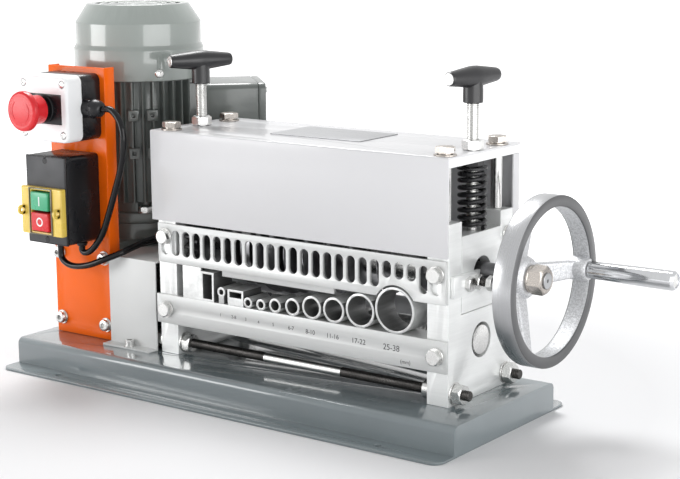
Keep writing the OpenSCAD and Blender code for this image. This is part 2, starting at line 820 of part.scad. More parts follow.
// Guide bar with the tubes and channels that stand on it
leg_dep = 27;
module guide_bar() {
    color("whitesmoke") difference() {
        union() {
            box(fx0 - guard_gap, fx1, bar_y0, plate_y0, bar_z0, bar_z1);
            box(left_in + slide_gap, right_in - slide_gap, plate_y0, plate_y0 + leg_dep, bar_z1 - panel_t, bar_z1);
        }
        for (x = plate_xs)
            y_cyl(bolt_d + 2 * bolt_gap, bar_y0 - over, plate_y0 + over, x, bar_bolt_z);
    }
}
module square_tube(i, w, h, z0) {
    x = station_x(i);
    y1 = bar_y0 + tube_len;
    difference() {
        box(x - w / 2, x + w / 2, bar_y0, y1, z0, z0 + h);
        box(x - w / 2 + tube_wall, x + w / 2 - tube_wall, bar_y0 - over, y1 + over,
            z0 + tube_wall, z0 + h - tube_wall);
    }
}
module round_tube(i, z0) {
    x = station_x(i);
    d = station_wids[i];
    difference() {
        y_cyl(d, bar_y0, bar_y0 + tube_len, x, z0 + d / 2);
        y_cyl(d - 2 * tube_wall, bar_y0 - over, bar_y0 + tube_len + over, x, z0 + d / 2);
    }
}
module guide_tubes() {
    color("lightgray") {
        for (i = [0 : round_count - 1]) round_tube(i, bar_z1);
        union() {
            round_tube(small_i, bar_z1 + small_tube_rise);
            difference() {
                box(station_x(small_i) - small_tube_d / 3, station_x(small_i) + small_tube_d / 3,
                    bar_y0, bar_y0 + tube_len, bar_z1, bar_z1 + small_tube_rise + small_tube_d / 4);
                y_cyl(small_tube_d - 2 * tube_wall, bar_y0 - over, bar_y0 + tube_len + over,
                    station_x(small_i), bar_z1 + small_tube_rise + small_tube_d / 2);
            }
        }
        union() {
            square_tube(flat_i, flat_wid, flat_h, bar_z1 + flat_rise);
            box(station_x(flat_i) - flat_wid / 2, station_x(flat_i) + flat_wid / 2,
                bar_y0, bar_y0 + tube_len, bar_z1, bar_z1 + flat_rise);
        }
        union() {
            square_tube(channel_i, channel_wid, channel_h, bar_z1);
            box(station_x(side_i) - side_plate_wid / 2, station_x(side_i) + side_plate_wid / 2,
                bar_y0, plate_y0, bar_z1, bar_z1 + side_plate_h);
        }
    }
}

// Bearing blocks that slide in the plates, with the pieces they carry
ret_inset = 3;
ret_y0 = plate_y0 + ret_inset;
ret_y1 = axis_y - journal_d / 2 + seat_gap;
ret_rise = 106;
ret_z0 = deck_h + ret_rise;
ret_h = 21;
ret_t = 4;
ret_bolt_sets = [31.5, 17.5];
ret_bolt_ys = [for (s = ret_bolt_sets) axis_y - s];
ret_bolt_z = ret_z0 + ret_h / 2;
ret_out = 14;
module bearing_blocks() {
    color("gainsboro") both_ends() difference() {
        box(right_in + block_in, fx1 + block_in, slot_y0 + slide_gap, slot_y1 - slide_gap, block_z0, block_z1);
        x_cyl(block_brg_d, right_in - over, right_in + block_in + block_brg_w, axis_y, upper_z);
        x_cyl(block_hole_d, right_in - over, fx1 + block_in + over, axis_y, upper_z);
        z_cyl(tip_d + 2 * slide_gap, block_z1 - tip_hole_depth, block_z1 + over, plate_xs[1], axis_y);
        for (y = ret_bolt_ys)
            x_cyl(bolt_d + 2 * bolt_gap, fx1 - bolt_grip, fx1 + block_in + over, y, ret_bolt_z);
    }
}
module retaining_plates() {
    x0 = fx1 + block_in;
    color("lightgray") both_ends() {
        difference() {
            box(x0, x0 + ret_t, ret_y0, ret_y1 - bolt_gap, ret_z0, ret_z0 + ret_h);
            for (y = ret_bolt_ys) x_cyl(bolt_d + 2 * bolt_gap, x0 - over, x0 + ret_t + over, y, ret_bolt_z);
            x_cyl(journal_d + 4 * seat_gap, x0 - over, x0 + ret_t + over, axis_y, upper_z);
        }
        translate([x0 + ret_t, ret_bolt_ys[0], ret_bolt_z]) along_minus_x()
            hex_bolt(bolt_d, ret_t + bolt_grip / 2, washer = false);
        translate([x0 + ret_t, ret_bolt_ys[1], ret_bolt_z]) along_x()
            nut(bolt_d, bolt_d * hex_share, bolt_d * nut_share);
        translate([x0 + ret_t + ret_out, ret_bolt_ys[1], ret_bolt_z]) along_minus_x()
            hex_bolt(bolt_d, ret_t + ret_out + bolt_grip / 2, washer = false);
    }
}
module bearing_ring(d_out, d_in, w) {
    groove = (d_out - d_in) / 8;
    difference() {
        ring(d_out, d_in, w);
        for (z = [0, w]) translate([0, 0, z - groove / 2])
            ring(d_in + 5 * groove, d_in + 3 * groove, groove);
    }
}
module block_bearings() {
    color("dimgray") both_ends() translate([right_in + block_in, axis_y, upper_z]) along_x()
        bearing_ring(block_brg_d, journal_d + 2 * run_gap, block_brg_w);
}
module lower_bearings() {
    color("dimgray") both_ends() translate([right_in, axis_y, lower_z]) along_x()
        bearing_ring(roller_brg_d, roller_journal_d + 2 * run_gap, roller_brg_w);
}

// Blade shaft and what turns with it
module blade_shaft() {
    color("dimgray") {
        x_cyl(journal_d, fx0 + plate_t / 6, hub_x1, axis_y, upper_z);
        x_cyl(shaft_d, left_in + shoulder_gap, right_in - shoulder_gap, axis_y, upper_z);
        x_cyl(nut_thread_d, hub_x1, shaft_end_x, axis_y, upper_z);
    }
}
function disc_x0(i) = station_x(i) - disc_wid(i) / 2;
function disc_x1(i) = station_x(i) + disc_wid(i) / 2;
bevel = 1.5;
module cutter_discs() {
    color("silver") for (i = [0 : disc_count - 1])
        translate([disc_x0(i), axis_y, upper_z]) along_x() rotate_extrude() polygon([
            [shaft_d / 2, 0], [disc_r(i) - 2 * bevel, 0],
            [disc_r(i), i == flat_i ? 0 : disc_w / 2 - bevel / 3],
            [disc_r(i), i == flat_i ? disc_wid(i) : disc_w / 2 + bevel / 3],
            [disc_r(i) - 2 * bevel, disc_wid(i)], [shaft_d / 2, disc_wid(i)]
        ]);
}
module spacer(x0, x1) {
    translate([x0, axis_y, upper_z]) along_x() ring(spacer_d, shaft_d, x1 - x0);
}
module disc_spacers() {
    color("gray") {
        spacer(disc_x1(0), right_in - 3 * shoulder_gap);
        for (i = [0 : disc_count - 2]) spacer(disc_x1(i + 1), disc_x0(i));
        spacer(gear_x0 + gear_w, disc_x0(disc_count - 1));
        spacer(left_in + 3 * shoulder_gap, gear_x0);
    }
}

// Tooth flank as an involute of the base circle, thinned by the backlash
function inv(a) = tan(a) * 180 / PI - a;
function flank_angle(teeth, r) =
    let (rp = gear_module * teeth / 2, rb = rp * cos(gear_angle))
    90 / teeth - backlash / 2 / rp * 90 / PI + inv(gear_angle) - inv(r > rb ? acos(rb / r) : 0);
function gear_points(teeth, steps = 4) =
    let (rp = gear_module * teeth / 2, ra = rp + gear_module, rf = rp - dedendum_share * gear_module,
        r0 = max(rf, rp * cos(gear_angle)))
    [for (t = [0 : teeth - 1]) each
        let (c = 360 * t / teeth)
        concat(
            [rf * [cos(c - flank_angle(teeth, r0)), sin(c - flank_angle(teeth, r0))]],
            [for (s = [0 : steps]) let (r = r0 + (ra - r0) * s / steps, f = flank_angle(teeth, r))
                if (s > 0 || r0 > rf) r * [cos(c - f), sin(c - f)]],
            [for (s = [steps : -1 : 0]) let (r = r0 + (ra - r0) * s / steps, f = flank_angle(teeth, r))
                if (s > 0 || r0 > rf) r * [cos(c + f), sin(c + f)]],
            [rf * [cos(c + flank_angle(teeth, r0)), sin(c + flank_angle(teeth, r0))]]
        )];
module upper_gear() {
    color("darkgray") translate([gear_x0, axis_y, upper_z]) rotate([90, 0, 90]) difference() {
        linear_extrude(gear_w) rotate([0, 0, 90 + 180 / upper_teeth + 180]) polygon(gear_points(upper_teeth));
        translate([0, 0, -over]) cylinder(d = shaft_d, h = gear_w + 2 * over);
    }
}
module lower_gear() {
    color("darkgray") translate([gear_x0, axis_y, lower_z]) rotate([90, 0, 90]) difference() {
        linear_extrude(gear_w) rotate([0, 0, 90]) polygon(gear_points(lower_teeth));
        translate([0, 0, -over]) cylinder(d = roller_d, h = gear_w + 2 * over);
    }
}

// Hand wheel with three dished spokes, and its crank
module spoke(angle) {
    translate([0, axis_y, upper_z]) rotate([angle, 0, 0]) hull() {
        translate([hub_x0 + hub_w / 4, -spoke_root_w / 2, 0]) cube([spoke_t, spoke_root_w, hub_d / 3]);
        translate([wheel_x0 + rim_w / 4, -spoke_tip_w / 2, wheel_d / 2 - rim_t])
            cube([spoke_t, spoke_tip_w, rim_t / 3]);
    }
}
module handwheel() {
    color("lightgray") difference() {
        union() {
            translate([wheel_x0, axis_y, upper_z]) along_x() ring(wheel_d, wheel_d - 2 * rim_t, rim_w);
            x_cyl(hub_d, hub_x0, hub_x1, axis_y, upper_z);
            for (a = [-90, 30, 150]) spoke(a);
            x_cyl(boss_d, wheel_x0, wheel_x1, axis_y + grip_r, upper_z);
        }
        x_cyl(journal_d, hub_x0 - over, hub_x1 + over, axis_y, upper_z);
        x_cyl(pin_d, wheel_x0 - over, wheel_x1 + over, axis_y + grip_r, upper_z);
    }
}
module wheel_nut() {
    color("silver") {
        translate([hub_x1, axis_y, upper_z]) along_x() ring(wheel_nut_af, nut_thread_d, spring_washer_t);
        translate([hub_x1 + spring_washer_t, axis_y, upper_z]) along_x() difference() {
            cylinder(d = wheel_nut_af / cos(30), h = wheel_nut_h, $fn = 6);
            translate([0, 0, -over]) cylinder(d = nut_thread_d, h = wheel_nut_h + 2 * over);
        }
    }
}
grip_x0 = wheel_x1 + grip_gap;
grip_x1 = grip_x0 + grip_len;
module crank_pin() {
    color("silver") {
        x_cyl(pin_d, wheel_x0, grip_x1 - pin_head_h, axis_y + grip_r, upper_z);
        x_cyl(pin_head_d, grip_x1 - pin_head_h, grip_x1 - pin_head_h / 3, axis_y + grip_r, upper_z);
    }
}
module crank_grip() {
    color("silver") translate([grip_x0, axis_y + grip_r, upper_z]) along_x() difference() {
        rotate_extrude() polygon([
            [0, 0], [grip_d / 2 - grip_chamfer, 0], [grip_d / 2, grip_chamfer],
            [grip_d / 2, grip_len - grip_chamfer], [grip_d / 2 - grip_chamfer, grip_len], [0, grip_len]
        ]);
        translate([0, 0, -over]) cylinder(d = pin_d + 2 * run_gap, h = grip_len + 2 * over);
        translate([0, 0, grip_len - pin_head_h - seat_gap])
            cylinder(d = pin_head_d + 2 * run_gap, h = pin_head_h + 2 * over);
    }
}

// Feed roller, its coupling and the worm wheel on the same line
roller_x0 = cg_x0 + cg_len / 2 + coupling_gap / 2;
module feed_roller() {
    color("gray") difference() {
        union() {
            x_cyl(roller_journal_d, roller_x0, fx1 - end_disc_t - seat_gap, axis_y, lower_z);
            x_cyl(roller_d, left_in + shoulder_gap, right_in - shoulder_gap, axis_y, lower_z);
            x_cyl(end_disc_d, fx1 - end_disc_t - seat_gap, fx1 - seat_gap, axis_y, lower_z);
        }
        for (i = [0 : disc_count - 1]) translate([station_x(i) - groove_d, axis_y, lower_z]) along_x()
            rotate_extrude() polygon([
                [roller_d / 2 + over, -over], [roller_d / 2 + over, 2 * groove_d + over],
                [roller_d / 2 - groove_d, groove_d]
            ]);
    }
}
module drive_coupling() {
    mid = cg_x0 + cg_len / 2;
    color("darkgray") {
        for (s = [0, 1]) {
            x0 = s == 0 ? mid - coupling_gap / 2 - coupling_w : mid + coupling_gap / 2;
            bore = s == 0 ? out_d : roller_journal_d;
            translate([x0, axis_y, lower_z]) along_x() ring(coupling_d, bore, coupling_w);
        }
        x_cyl(coupling_d - coupling_gap, mid - coupling_gap / 2, mid + coupling_gap / 2, axis_y, lower_z);
    }
}
worm_wheel_r = motor_y - axis_y - worm_d / 2 - worm_gap;
module worm_wheel() {
    color("goldenrod") {
        x_cyl(2 * worm_wheel_r, drive_x - worm_wheel_w / 2, drive_x + worm_wheel_w / 2, axis_y, lower_z);
        x_cyl(out_d, gbox_x0 + gbox_wall / 2, cg_x0 + cg_len / 2 - coupling_gap / 2, axis_y, lower_z);
    }
}
module coupling_guard() {
    color("lightgray") difference() {
        union() {
            x_prism(cg_x0, cg_x1) difference() {
                translate([cg_y0, deck_h]) square([cg_y1 - cg_y0, cg_h]);
                translate([cg_y0 + cg_t, deck_h - over]) square([cg_y1 - cg_y0 - 2 * cg_t, cg_h - cg_t + over]);
            }
            box(cg_x0, cg_x1, cg_y0 - cg_foot, cg_y0, deck_h, deck_h + cg_t);
            box(cg_x0, cg_x1, cg_y1, cg_y1 + cg_foot, deck_h, deck_h + cg_t);
        }
        for (y = cg_screw_ys) z_cyl(cg_bolt_d + 2 * bolt_gap, deck_h - over, deck_h + cg_t + over, cg_mid, y);
    }
}

// Gearbox
cover_bolt_r = cover_d / 2 - 2 * screw_d;
module gearbox_housing() {
    color("darkgray") difference() {
        union() {
            box(gbox_x0, gbox_x1, gbox_y0, gbox_y1, deck_h, gbox_z1);
            z_cyl(flange_d, gbox_z1, flange_z0, drive_x, motor_y);
        }
        box(gbox_x0 + gbox_wall, gbox_x1 - gbox_wall, gbox_y0 + gbox_wall, gbox_y1 - gbox_wall,
            deck_h + gbox_wall, gbox_z1 - gbox_wall);
        z_cyl(worm_d + 4 * worm_gap, gbox_z1 - gbox_wall - over, flange_z0 + over, drive_x, motor_y);
        x_cyl(2 * worm_wheel_r + 4 * worm_gap, gbox_x1 - gbox_wall - over, gbox_x1 + over, axis_y, lower_z);
        x_cyl(out_d + 2 * run_gap, gbox_x0 + gbox_wall / 2, gbox_x0 + gbox_wall + over, axis_y, lower_z);
        for (x = gbox_bolt_xs, y = gbox_bolt_ys)
            z_cyl(bolt_d + 2 * bolt_gap, deck_h - over, deck_h + gbox_wall + over, x, y);
        for (x = [-1, 1], h = col_bolt_hs)
            y_cyl(bolt_d + 2 * bolt_gap, gbox_y0 - over, gbox_y0 + gbox_wall + over,
                drive_x + x * col_bolt_x, deck_h + h);
        for (k = [0 : 3]) translate([drive_x, motor_y, gbox_z1]) rotate(90 * k + term_turn)
            z_cyl(bolt_d + 2 * bolt_gap, -over, gbox_lip + over, flange_d / 2 - bolt_d, 0);
        for (k = [0 : 3]) translate([gbox_x1, axis_y, lower_z]) rotate([90 * k + 45, 0, 0])
            translate([-gbox_wall - over, 0, cover_bolt_r]) along_x()
                cylinder(d = screw_d + 2 * bolt_gap, h = gbox_wall + 2 * over);
    }
}
module gearbox_cover() {
    color("gray") difference() {
        x_cyl(cover_d, gbox_x1, gbox_x1 + cover_t, axis_y, lower_z);
        x_cyl(out_d + 2 * run_gap, gbox_x1 - over, gbox_x1 + cover_t + over, axis_y, lower_z);
        for (k = [0 : 3]) translate([gbox_x1, axis_y, lower_z]) rotate([90 * k + 45, 0, 0])
            translate([-over, 0, cover_bolt_r]) along_x()
                cylinder(d = screw_d + 2 * bolt_gap, h = cover_t + 2 * over);
    }
}

// Motor
module at_motor(z, turn = 0) {
    translate([drive_x, motor_y, z]) rotate([0, 0, turn]) children();
}
module motor_flange() {
    color("dimgray") at_motor(flange_z0, term_turn) difference() {
        union() {
            cylinder(d = flange_d, h = shield_h / 2);
            cylinder(d = core_d, h = shield_h);
        }
        translate([0, 0, shield_t]) cylinder(d = bore_d, h = shield_h);
        translate([0, 0, -over]) cylinder(d = motor_shaft_d + 2 * run_gap, h = shield_h);
        for (k = [0 : 3]) rotate([0, 0, 90 * k]) translate([flange_d / 2 - bolt_d, 0, 0]) {
            translate([0, 0, -over]) cylinder(d = bolt_d + 2 * bolt_gap, h = shield_h / 2 + 2 * over);
            translate([0, 0, shield_h / 2]) cylinder(d = bolt_d * washer_share + 2 * seat_gap, h = shield_h);
        }
    }
}
module motor_frame() {
    color("darkslategray") at_motor(stator_z0, term_turn) difference() {
        union() {
            cylinder(d = core_d, h = stator_h);
            for (a = [fin_step * 4 : fin_step : 360 - fin_step * 4])
                rotate([0, 0, a]) translate([0, -fin_t / 2, 0]) cube([fin_d / 2, fin_t, stator_h]);
            translate([0, -term_wid / 3, 0])
                cube([term_x0, term_wid * 2 / 3, term_z1 - stator_z0]);
            for (h = pad_shares, s = [-1, 1]) rotate([0, 0, -2 * term_turn])
                translate([0, s * pad_side - pad_w / 2, h * stator_h - pad_w / 2]) cube([fin_d / 2, pad_w, pad_w]);
            translate([0, 0, stator_h - over]) cylinder(d = cowl_d - 2 * cowl_t, h = spigot_h + over);
        }
        translate([0, 0, stator_h]) cylinder(d = cowl_d - 4 * screw_d, h = spigot_h + over);
        for (k = [0 : 3]) rotate([0, 0, 90 * k + cowl_turn - term_turn])
            translate([0, 0, stator_h + cowl_screw_h]) along_x() cylinder(d = screw_d + 2 * bolt_gap, h = cowl_d);
        for (h = pad_shares, s = [-1, 1]) rotate([0, 0, -2 * term_turn])
            translate([fin_d / 2 - pad_w / 2, s * pad_side, h * stator_h]) along_x()
                cylinder(d = screw_d, h = pad_w);
        translate([0, 0, -over]) cylinder(d = bore_d, h = stator_h - shield_t + over);
        translate([0, 0, -over]) cylinder(d = motor_shaft_d + 2 * run_gap, h = stator_h + 2 * over);
    }
}
module motor_rotor() {
    color("silver") at_motor(0) {
        z_cyl(worm_d, lower_z - worm_len / 2, lower_z + worm_len / 2, 0, 0);
        z_cyl(motor_shaft_d, lower_z - worm_len / 2, cowl_z0 + fan_h + cowl_h / 5, 0, 0);
        z_cyl(bore_d - 2 * rotor_gap, stator_z0 + shield_t, stator_z0 + shield_t + rotor_len, 0, 0);
    }
}
module cooling_fan() {
    color("dimgray") at_motor(cowl_z0 + cowl_h / 5) difference() {
        union() {
            cylinder(d = 3 * motor_shaft_d, h = fan_h);
            cylinder(d = fan_d, h = cowl_t);
            for (k = [0 : fan_blades - 1]) rotate([0, 0, 360 * k / fan_blades])
                translate([motor_shaft_d, -cowl_t / 2, cowl_t / 2])
                    cube([fan_d / 2 - motor_shaft_d - cowl_t, cowl_t, fan_h - cowl_t]);
        }
        translate([0, 0, -over]) cylinder(d = motor_shaft_d, h = fan_h + 2 * over);
    }
}
vent_ring_w = 5;
vent_web = 6;
module fan_cowl() {
    step = cowl_h * cowl_step_share;
    shoulder = cowl_h * cowl_shoulder_share;
    rise = (cowl_d - cowl_neck_d) / 2;
    color("slategray") at_motor(cowl_z0) difference() {
        rotate_extrude() polygon([
            [cowl_d / 2 - cowl_t, 0], [cowl_d / 2, 0], [cowl_d / 2, step], [cowl_neck_d / 2, step + 2 * rise],
            [cowl_neck_d / 2, shoulder], [cowl_top_d / 2, cowl_h], [0, cowl_h], [0, cowl_h - cowl_t],
            [cowl_top_d / 2 - cowl_t / 2, cowl_h - cowl_t], [cowl_neck_d / 2 - cowl_t, shoulder - cowl_t / 2],
            [cowl_neck_d / 2 - cowl_t, step + 2 * rise], [cowl_d / 2 - cowl_t, step]
        ]);
        for (r = [3 * vent_ring_w : 2 * vent_ring_w : cowl_top_d / 2 - vent_ring_w]) difference() {
            translate([0, 0, cowl_h - cowl_t - over]) ring(2 * r + vent_ring_w, 2 * r - vent_ring_w, cowl_t + 2 * over);
            for (a = [0, 60, 120]) rotate([0, 0, a])
                translate([-cowl_d / 2, -vent_web / 2, cowl_h - cowl_t - 2 * over]) cube([cowl_d, vent_web, cowl_t + 4 * over]);
        }
        for (k = [0 : 3]) rotate([0, 0, 90 * k + cowl_turn]) translate([0, 0, cowl_screw_h]) along_x()
            cylinder(d = screw_d + 2 * bolt_gap, h = cowl_d);
    }
}
module term_block(x0, x1, inset, z0, z1) {
    at_motor(0, term_turn) translate([x0, 0, (z0 + z1) / 2]) rotate([90, 0, 90])
        linear_extrude(x1 - x0) round_rect(term_wid - 2 * inset, z1 - z0, term_r - inset);
}
term_lid_x = term_reach - term_lid_t;
term_gland_x = (term_x0 + term_lid_x) / 2;
module terminal_box() {
    color("darkslategray") difference() {
        term_block(term_x0, term_lid_x, 0, term_z0, term_z1);
        term_block(term_x0 + term_wall, term_lid_x + over, term_wall, term_z0 + term_wall, term_z1 - term_wall);
        at_motor(term_z0 - over, term_turn) translate([term_gland_x, 0, 0])
            cylinder(d = gland_nose_d, h = term_wall + 2 * over);
    }
}
module terminal_lid() {
    color("darkslategray") difference() {
        term_block(term_lid_x, term_reach, 0, term_z0, term_z1);
        term_block(term_lid_x - over, term_reach - term_wall, term_wall, term_z0 + term_wall, term_z1 - term_wall);
        for (sy = [-1, 1], sz = [-1, 1]) at_motor((term_z0 + term_z1) / 2, term_turn)
            translate([term_lid_x, sy * (term_wid / 2 - term_r), sz * (term_h / 2 - term_r)]) along_x()
                cylinder(d = screw_d + 2 * bolt_gap, h = term_lid_t + over);
    }
}

// Control column and the two control boxes
module control_column() {
    x0 = drive_x - column_wid / 2;
    x1 = drive_x + column_wid / 2;
    color("orangered") difference() {
        union() {
            box(x0, x1, col_y0, col_y0 + column_t, deck_h, col_z1);
            for (x = [x0, x1 - column_t]) box(x, x + column_t, col_y0, col_y0 + column_dep, deck_h, col_z1);
        }
        for (s = [-1, 1], h = col_bolt_hs)
            y_cyl(bolt_d + 2 * bolt_gap, col_y0 - over, col_y0 + column_t + over,
                drive_x + s * col_bolt_x, deck_h + h);
        for (s = [-1, 1], z = [estop_z + estop_screw_x / 2, switch_z1 - 4 * switch_r, switch_z0 + 4 * switch_r])
            y_cyl(screw_d + 2 * bolt_gap, col_y0 - over, col_y0 + column_t + over, drive_x + s * estop_screw_x / 2, z);
    }
}
module estop_cover() {
    y1 = estop_y0 + estop_cover_t;
    color("white") difference() {
        y_prism(estop_y0, y1) translate([drive_x, estop_z]) round_rect(estop_wid, estop_h, estop_r);
        y_prism(estop_y0 - over, estop_y0 + estop_plate_t) translate([drive_x, estop_z])
            round_rect(estop_plate_wid, estop_plate_h, estop_plate_t);
        y_prism(estop_y0 + tube_wall, y1 + over) translate([drive_x, estop_z])
            round_rect(estop_wid - 2 * tube_wall, estop_h - 2 * tube_wall, estop_r - tube_wall);
        y_cyl(stem_d + 2 * slide_gap, estop_y0 - over, estop_y0 + tube_wall + over, drive_x, estop_z);
        for (sx = [-1, 1], sz = [-1, 1])
            y_cyl(screw_d + 2 * bolt_gap, estop_y0 - over, estop_y0 + tube_wall + over,
                drive_x + sx * estop_screw_x, estop_z + sz * estop_screw_z);
    }
}
module estop_housing() {
    y0 = estop_y0 + estop_cover_t;
    color("black") difference() {
        union() {
            difference() {
                y_prism(y0, col_y0) translate([drive_x, estop_z]) round_rect(estop_wid, estop_h, estop_r);
                y_prism(y0 - over, col_y0 - tube_wall) translate([drive_x, estop_z])
                    round_rect(estop_wid - 2 * tube_wall, estop_h - 2 * tube_wall, estop_r - tube_wall);
            }
            for (sx = [-1, 1], sz = [-1, 1])
                y_cyl(2.5 * screw_d, y0, col_y0, drive_x + sx * estop_screw_x, estop_z + sz * estop_screw_z);
        }
        for (sx = [-1, 1], sz = [-1, 1])
            y_cyl(screw_d + 2 * bolt_gap, y0 - over, y0 + 4 * screw_d, drive_x + sx * estop_screw_x,
                estop_z + sz * estop_screw_z);
        x_cyl(gland_nose_d, drive_x + estop_wid / 2 - 2 * tube_wall, drive_x + estop_wid / 2 + over,
            estop_gland[1], estop_gland[2]);
    }
}
module estop_stem() {
    color("black") y_cyl(stem_d, estop_y0 - mushroom_gap, estop_y0 + estop_cover_t, drive_x, estop_z);
}
module estop_button() {
    y1 = estop_y0 - mushroom_gap;
    color("red") translate([drive_x, y1, estop_z]) rotate([90, 0, 0]) rotate_extrude() polygon([
        [0, 0], [waist_d / 2, 0], [waist_d / 2, mushroom_t / 2], [mushroom_d / 2, mushroom_t * 0.72],
        [mushroom_d / 2, mushroom_t - 2 * bevel],
        [mushroom_d / 2 - bevel, mushroom_t - bevel / 2], [mushroom_d / 2 - 3 * bevel, mushroom_t],
        [0, mushroom_t]
    ]);
}
module switch_body() {
    y0 = switch_y0 + switch_plate_t;
    color("black") difference() {
        y_prism(y0, col_y0) translate([drive_x, (switch_z0 + switch_z1) / 2])
            round_rect(switch_wid, switch_h, switch_r);
        y_prism(y0 - over, col_y0 - tube_wall) translate([drive_x, (switch_z0 + switch_z1) / 2])
            round_rect(switch_wid - 4 * tube_wall, switch_h - 4 * tube_wall, switch_r / 2);
        for (z = [switch_z0 + switch_r, switch_z1 - switch_r])
            y_cyl(screw_d + 2 * bolt_gap, y0 - over, y0 + 4 * screw_d, drive_x, z);
    }
}
module switch_plate() {
    color("dimgray") difference() {
        y_prism(switch_y0, switch_y0 + switch_plate_t) translate([drive_x, (switch_z0 + switch_z1) / 2])
            round_rect(switch_wid, switch_h, switch_r);
        y_prism(switch_y0 - over, switch_y0 + switch_plate_t + over) translate([drive_x, bezel_z])
            square([key_wid + 2 * key_gap, 2 * (key_h + key_apart + key_gap)], center = true);
        for (z = [switch_z0 + switch_r, switch_z1 - switch_r])
            y_cyl(screw_d + 2 * bolt_gap, switch_y0 - over, switch_y0 + switch_plate_t + over, drive_x, z);
    }
}
module switch_bezel() {
    color("gold") difference() {
        union() {
            y_prism(switch_y0 - bezel_t, switch_y0) translate([drive_x, bezel_z])
                round_rect(bezel_wid, bezel_h, switch_r);
            for (s = [-1, 1]) y_cyl(lug_d, switch_y0 - bezel_t, switch_y0 - bezel_t / 3,
                drive_x + s * bezel_wid / 2, bezel_z);
        }
        y_prism(switch_y0 - bezel_t - over, switch_y0 + over) translate([drive_x, bezel_z])
            square([key_wid + 2 * key_rim, 2 * (key_h + key_apart + key_rim)], center = true);
        for (s = [-1, 1]) y_cyl(lug_d / 2, switch_y0 - bezel_t - over, switch_y0 + over,
            drive_x + s * (bezel_wid + lug_d / 4) / 2, bezel_z);
    }
}
module key(z) {
    y_prism(switch_y0 - bezel_t - key_out, switch_y0 + switch_plate_t) translate([drive_x, z])
        square([key_wid, key_h], center = true);
}
module start_button() { color("limegreen") key(bezel_z + key_h / 2 + key_apart); }
module stop_button() { color("crimson") key(bezel_z - key_h / 2 - key_apart); }

// All small screws
module screws() {
    color("silver") {
        for (s = [-1, 1], h = col_bolt_hs) translate([drive_x + s * col_bolt_x, col_y0, deck_h + h])
            along_y() socket_bolt(bolt_d, column_t + gbox_wall);
        for (sx = [-1, 1], sz = [-1, 1])
            translate([drive_x + sx * estop_screw_x, estop_y0, estop_z + sz * estop_screw_z])
                along_y() pan_screw(screw_d, estop_cover_t + 2 * screw_d);
        for (z = [switch_z0 + switch_r, switch_z1 - switch_r])
            translate([drive_x, switch_y0, z]) along_y() pan_screw(screw_d, switch_plate_t + 2 * screw_d);
        for (y = cg_screw_ys) translate([cg_mid, y, deck_h + cg_t]) rotate([180, 0, 0])
            hex_bolt(cg_bolt_d, cg_t + 2 * tray_t);
        for (k = [0 : 3]) translate([gbox_x1 + cover_t, axis_y, lower_z]) rotate([90 * k + 45, 0, 0])
            translate([0, 0, cover_bolt_r]) along_minus_x() pan_screw(screw_d, cover_t + gbox_wall / 2);
        for (k = [0 : 3]) at_motor(flange_z0 + shield_h / 2, 90 * k + term_turn)
            translate([flange_d / 2 - bolt_d, 0, 0]) rotate([180, 0, 0])
                hex_bolt(bolt_d, shield_h / 2 + gbox_lip);
        for (k = [0 : 3]) at_motor(cowl_z0 + cowl_screw_h, 90 * k + cowl_turn)
            translate([cowl_d / 2, 0, 0]) along_minus_x() pan_screw(screw_d, 2 * screw_d);
        for (sy = [-1, 1], sz = [-1, 1]) at_motor((term_z0 + term_z1) / 2, term_turn)
            translate([term_reach, sy * (term_wid / 2 - term_r), sz * (term_h / 2 - term_r)])
                along_minus_x() pan_screw(screw_d, term_wall);
    }
}

// Cable glands and grommets
module gland() {
    cylinder(d = gland_d, h = gland_len / 3);
    translate([0, 0, gland_len / 3]) cylinder(d = gland_d * 0.9, h = gland_len / 3);
    translate([0, 0, gland_len * 2 / 3]) cylinder(d = gland_nose_d, h = gland_len / 3);
}
grommet_sets = [23, -10];
grommet_back = 22.5;
module cable_glands() {
    color("black") {
        translate(estop_gland) along_x() gland();
        at_motor(term_z0, term_turn) translate([term_gland_x, 0, 0]) rotate([180, 0, 0]) gland();
        for (s = grommet_sets)
            z_cyl(grommet_d, switch_z0 - grommet_h, switch_z0, drive_x + s, col_y0 - grommet_back);
    }
}

// A lead as one closed tube: rings square to a smooth line through the route's points
function mix(p, i, t) =
    let (a = p[max(i - 1, 0)], b = p[i], c = p[i + 1], d = p[min(i + 2, len(p) - 1)])
    0.5 * (2 * b + (c - a) * t + (2 * a - 5 * b + 4 * c - d) * t * t + (3 * b - 3 * c + d - a) * t * t * t);
function unit(v) = v / norm(v);
function line_points(p) = [for (i = [0 : len(p) - 2])
    let (n = max(1, round(norm(p[i + 1] - p[i]) / lead_step)))
    each [for (k = [0 : n - 1]) mix(p, i, k / n)], p[len(p) - 1]];
function tube_ring(q, i, d) =
    let (n = len(q) - 1,
        t = i == 0 ? unit(q[1] - q[0]) : i == n ? unit(q[n] - q[n - 1]) : unit(q[i + 1] - q[i - 1]),
        u = unit(cross(t, [0.31, 0.95, 0.05])), v = cross(t, u))
    [for (k = [0 : lead_sides - 1]) let (a = 360 * k / lead_sides) q[i] + d / 2 * (cos(a) * u + sin(a) * v)];
module tube_solid(rings, sides) {
    n = len(rings);
    polyhedron(points = [for (r = rings) each r], faces = concat(
        [for (i = [0 : n - 2]) for (k = [0 : sides - 1]) let (m = (k + 1) % sides)
            each [[i * sides + k, i * sides + m, (i + 1) * sides + m],
                [i * sides + k, (i + 1) * sides + m, (i + 1) * sides + k]]],
        [for (k = [1 : sides - 2]) [0, k + 1, k]],
        [for (k = [1 : sides - 2]) [(n - 1) * sides, (n - 1) * sides + k, (n - 1) * sides + k + 1]]
    ));
}
module lead(route) {
    q = line_points([for (p = route) p + [drive_x - route_x, 0, 0]]);
    tube_solid([for (i = [0 : len(q) - 1]) tube_ring(q, i, lead_d)], lead_sides);
}
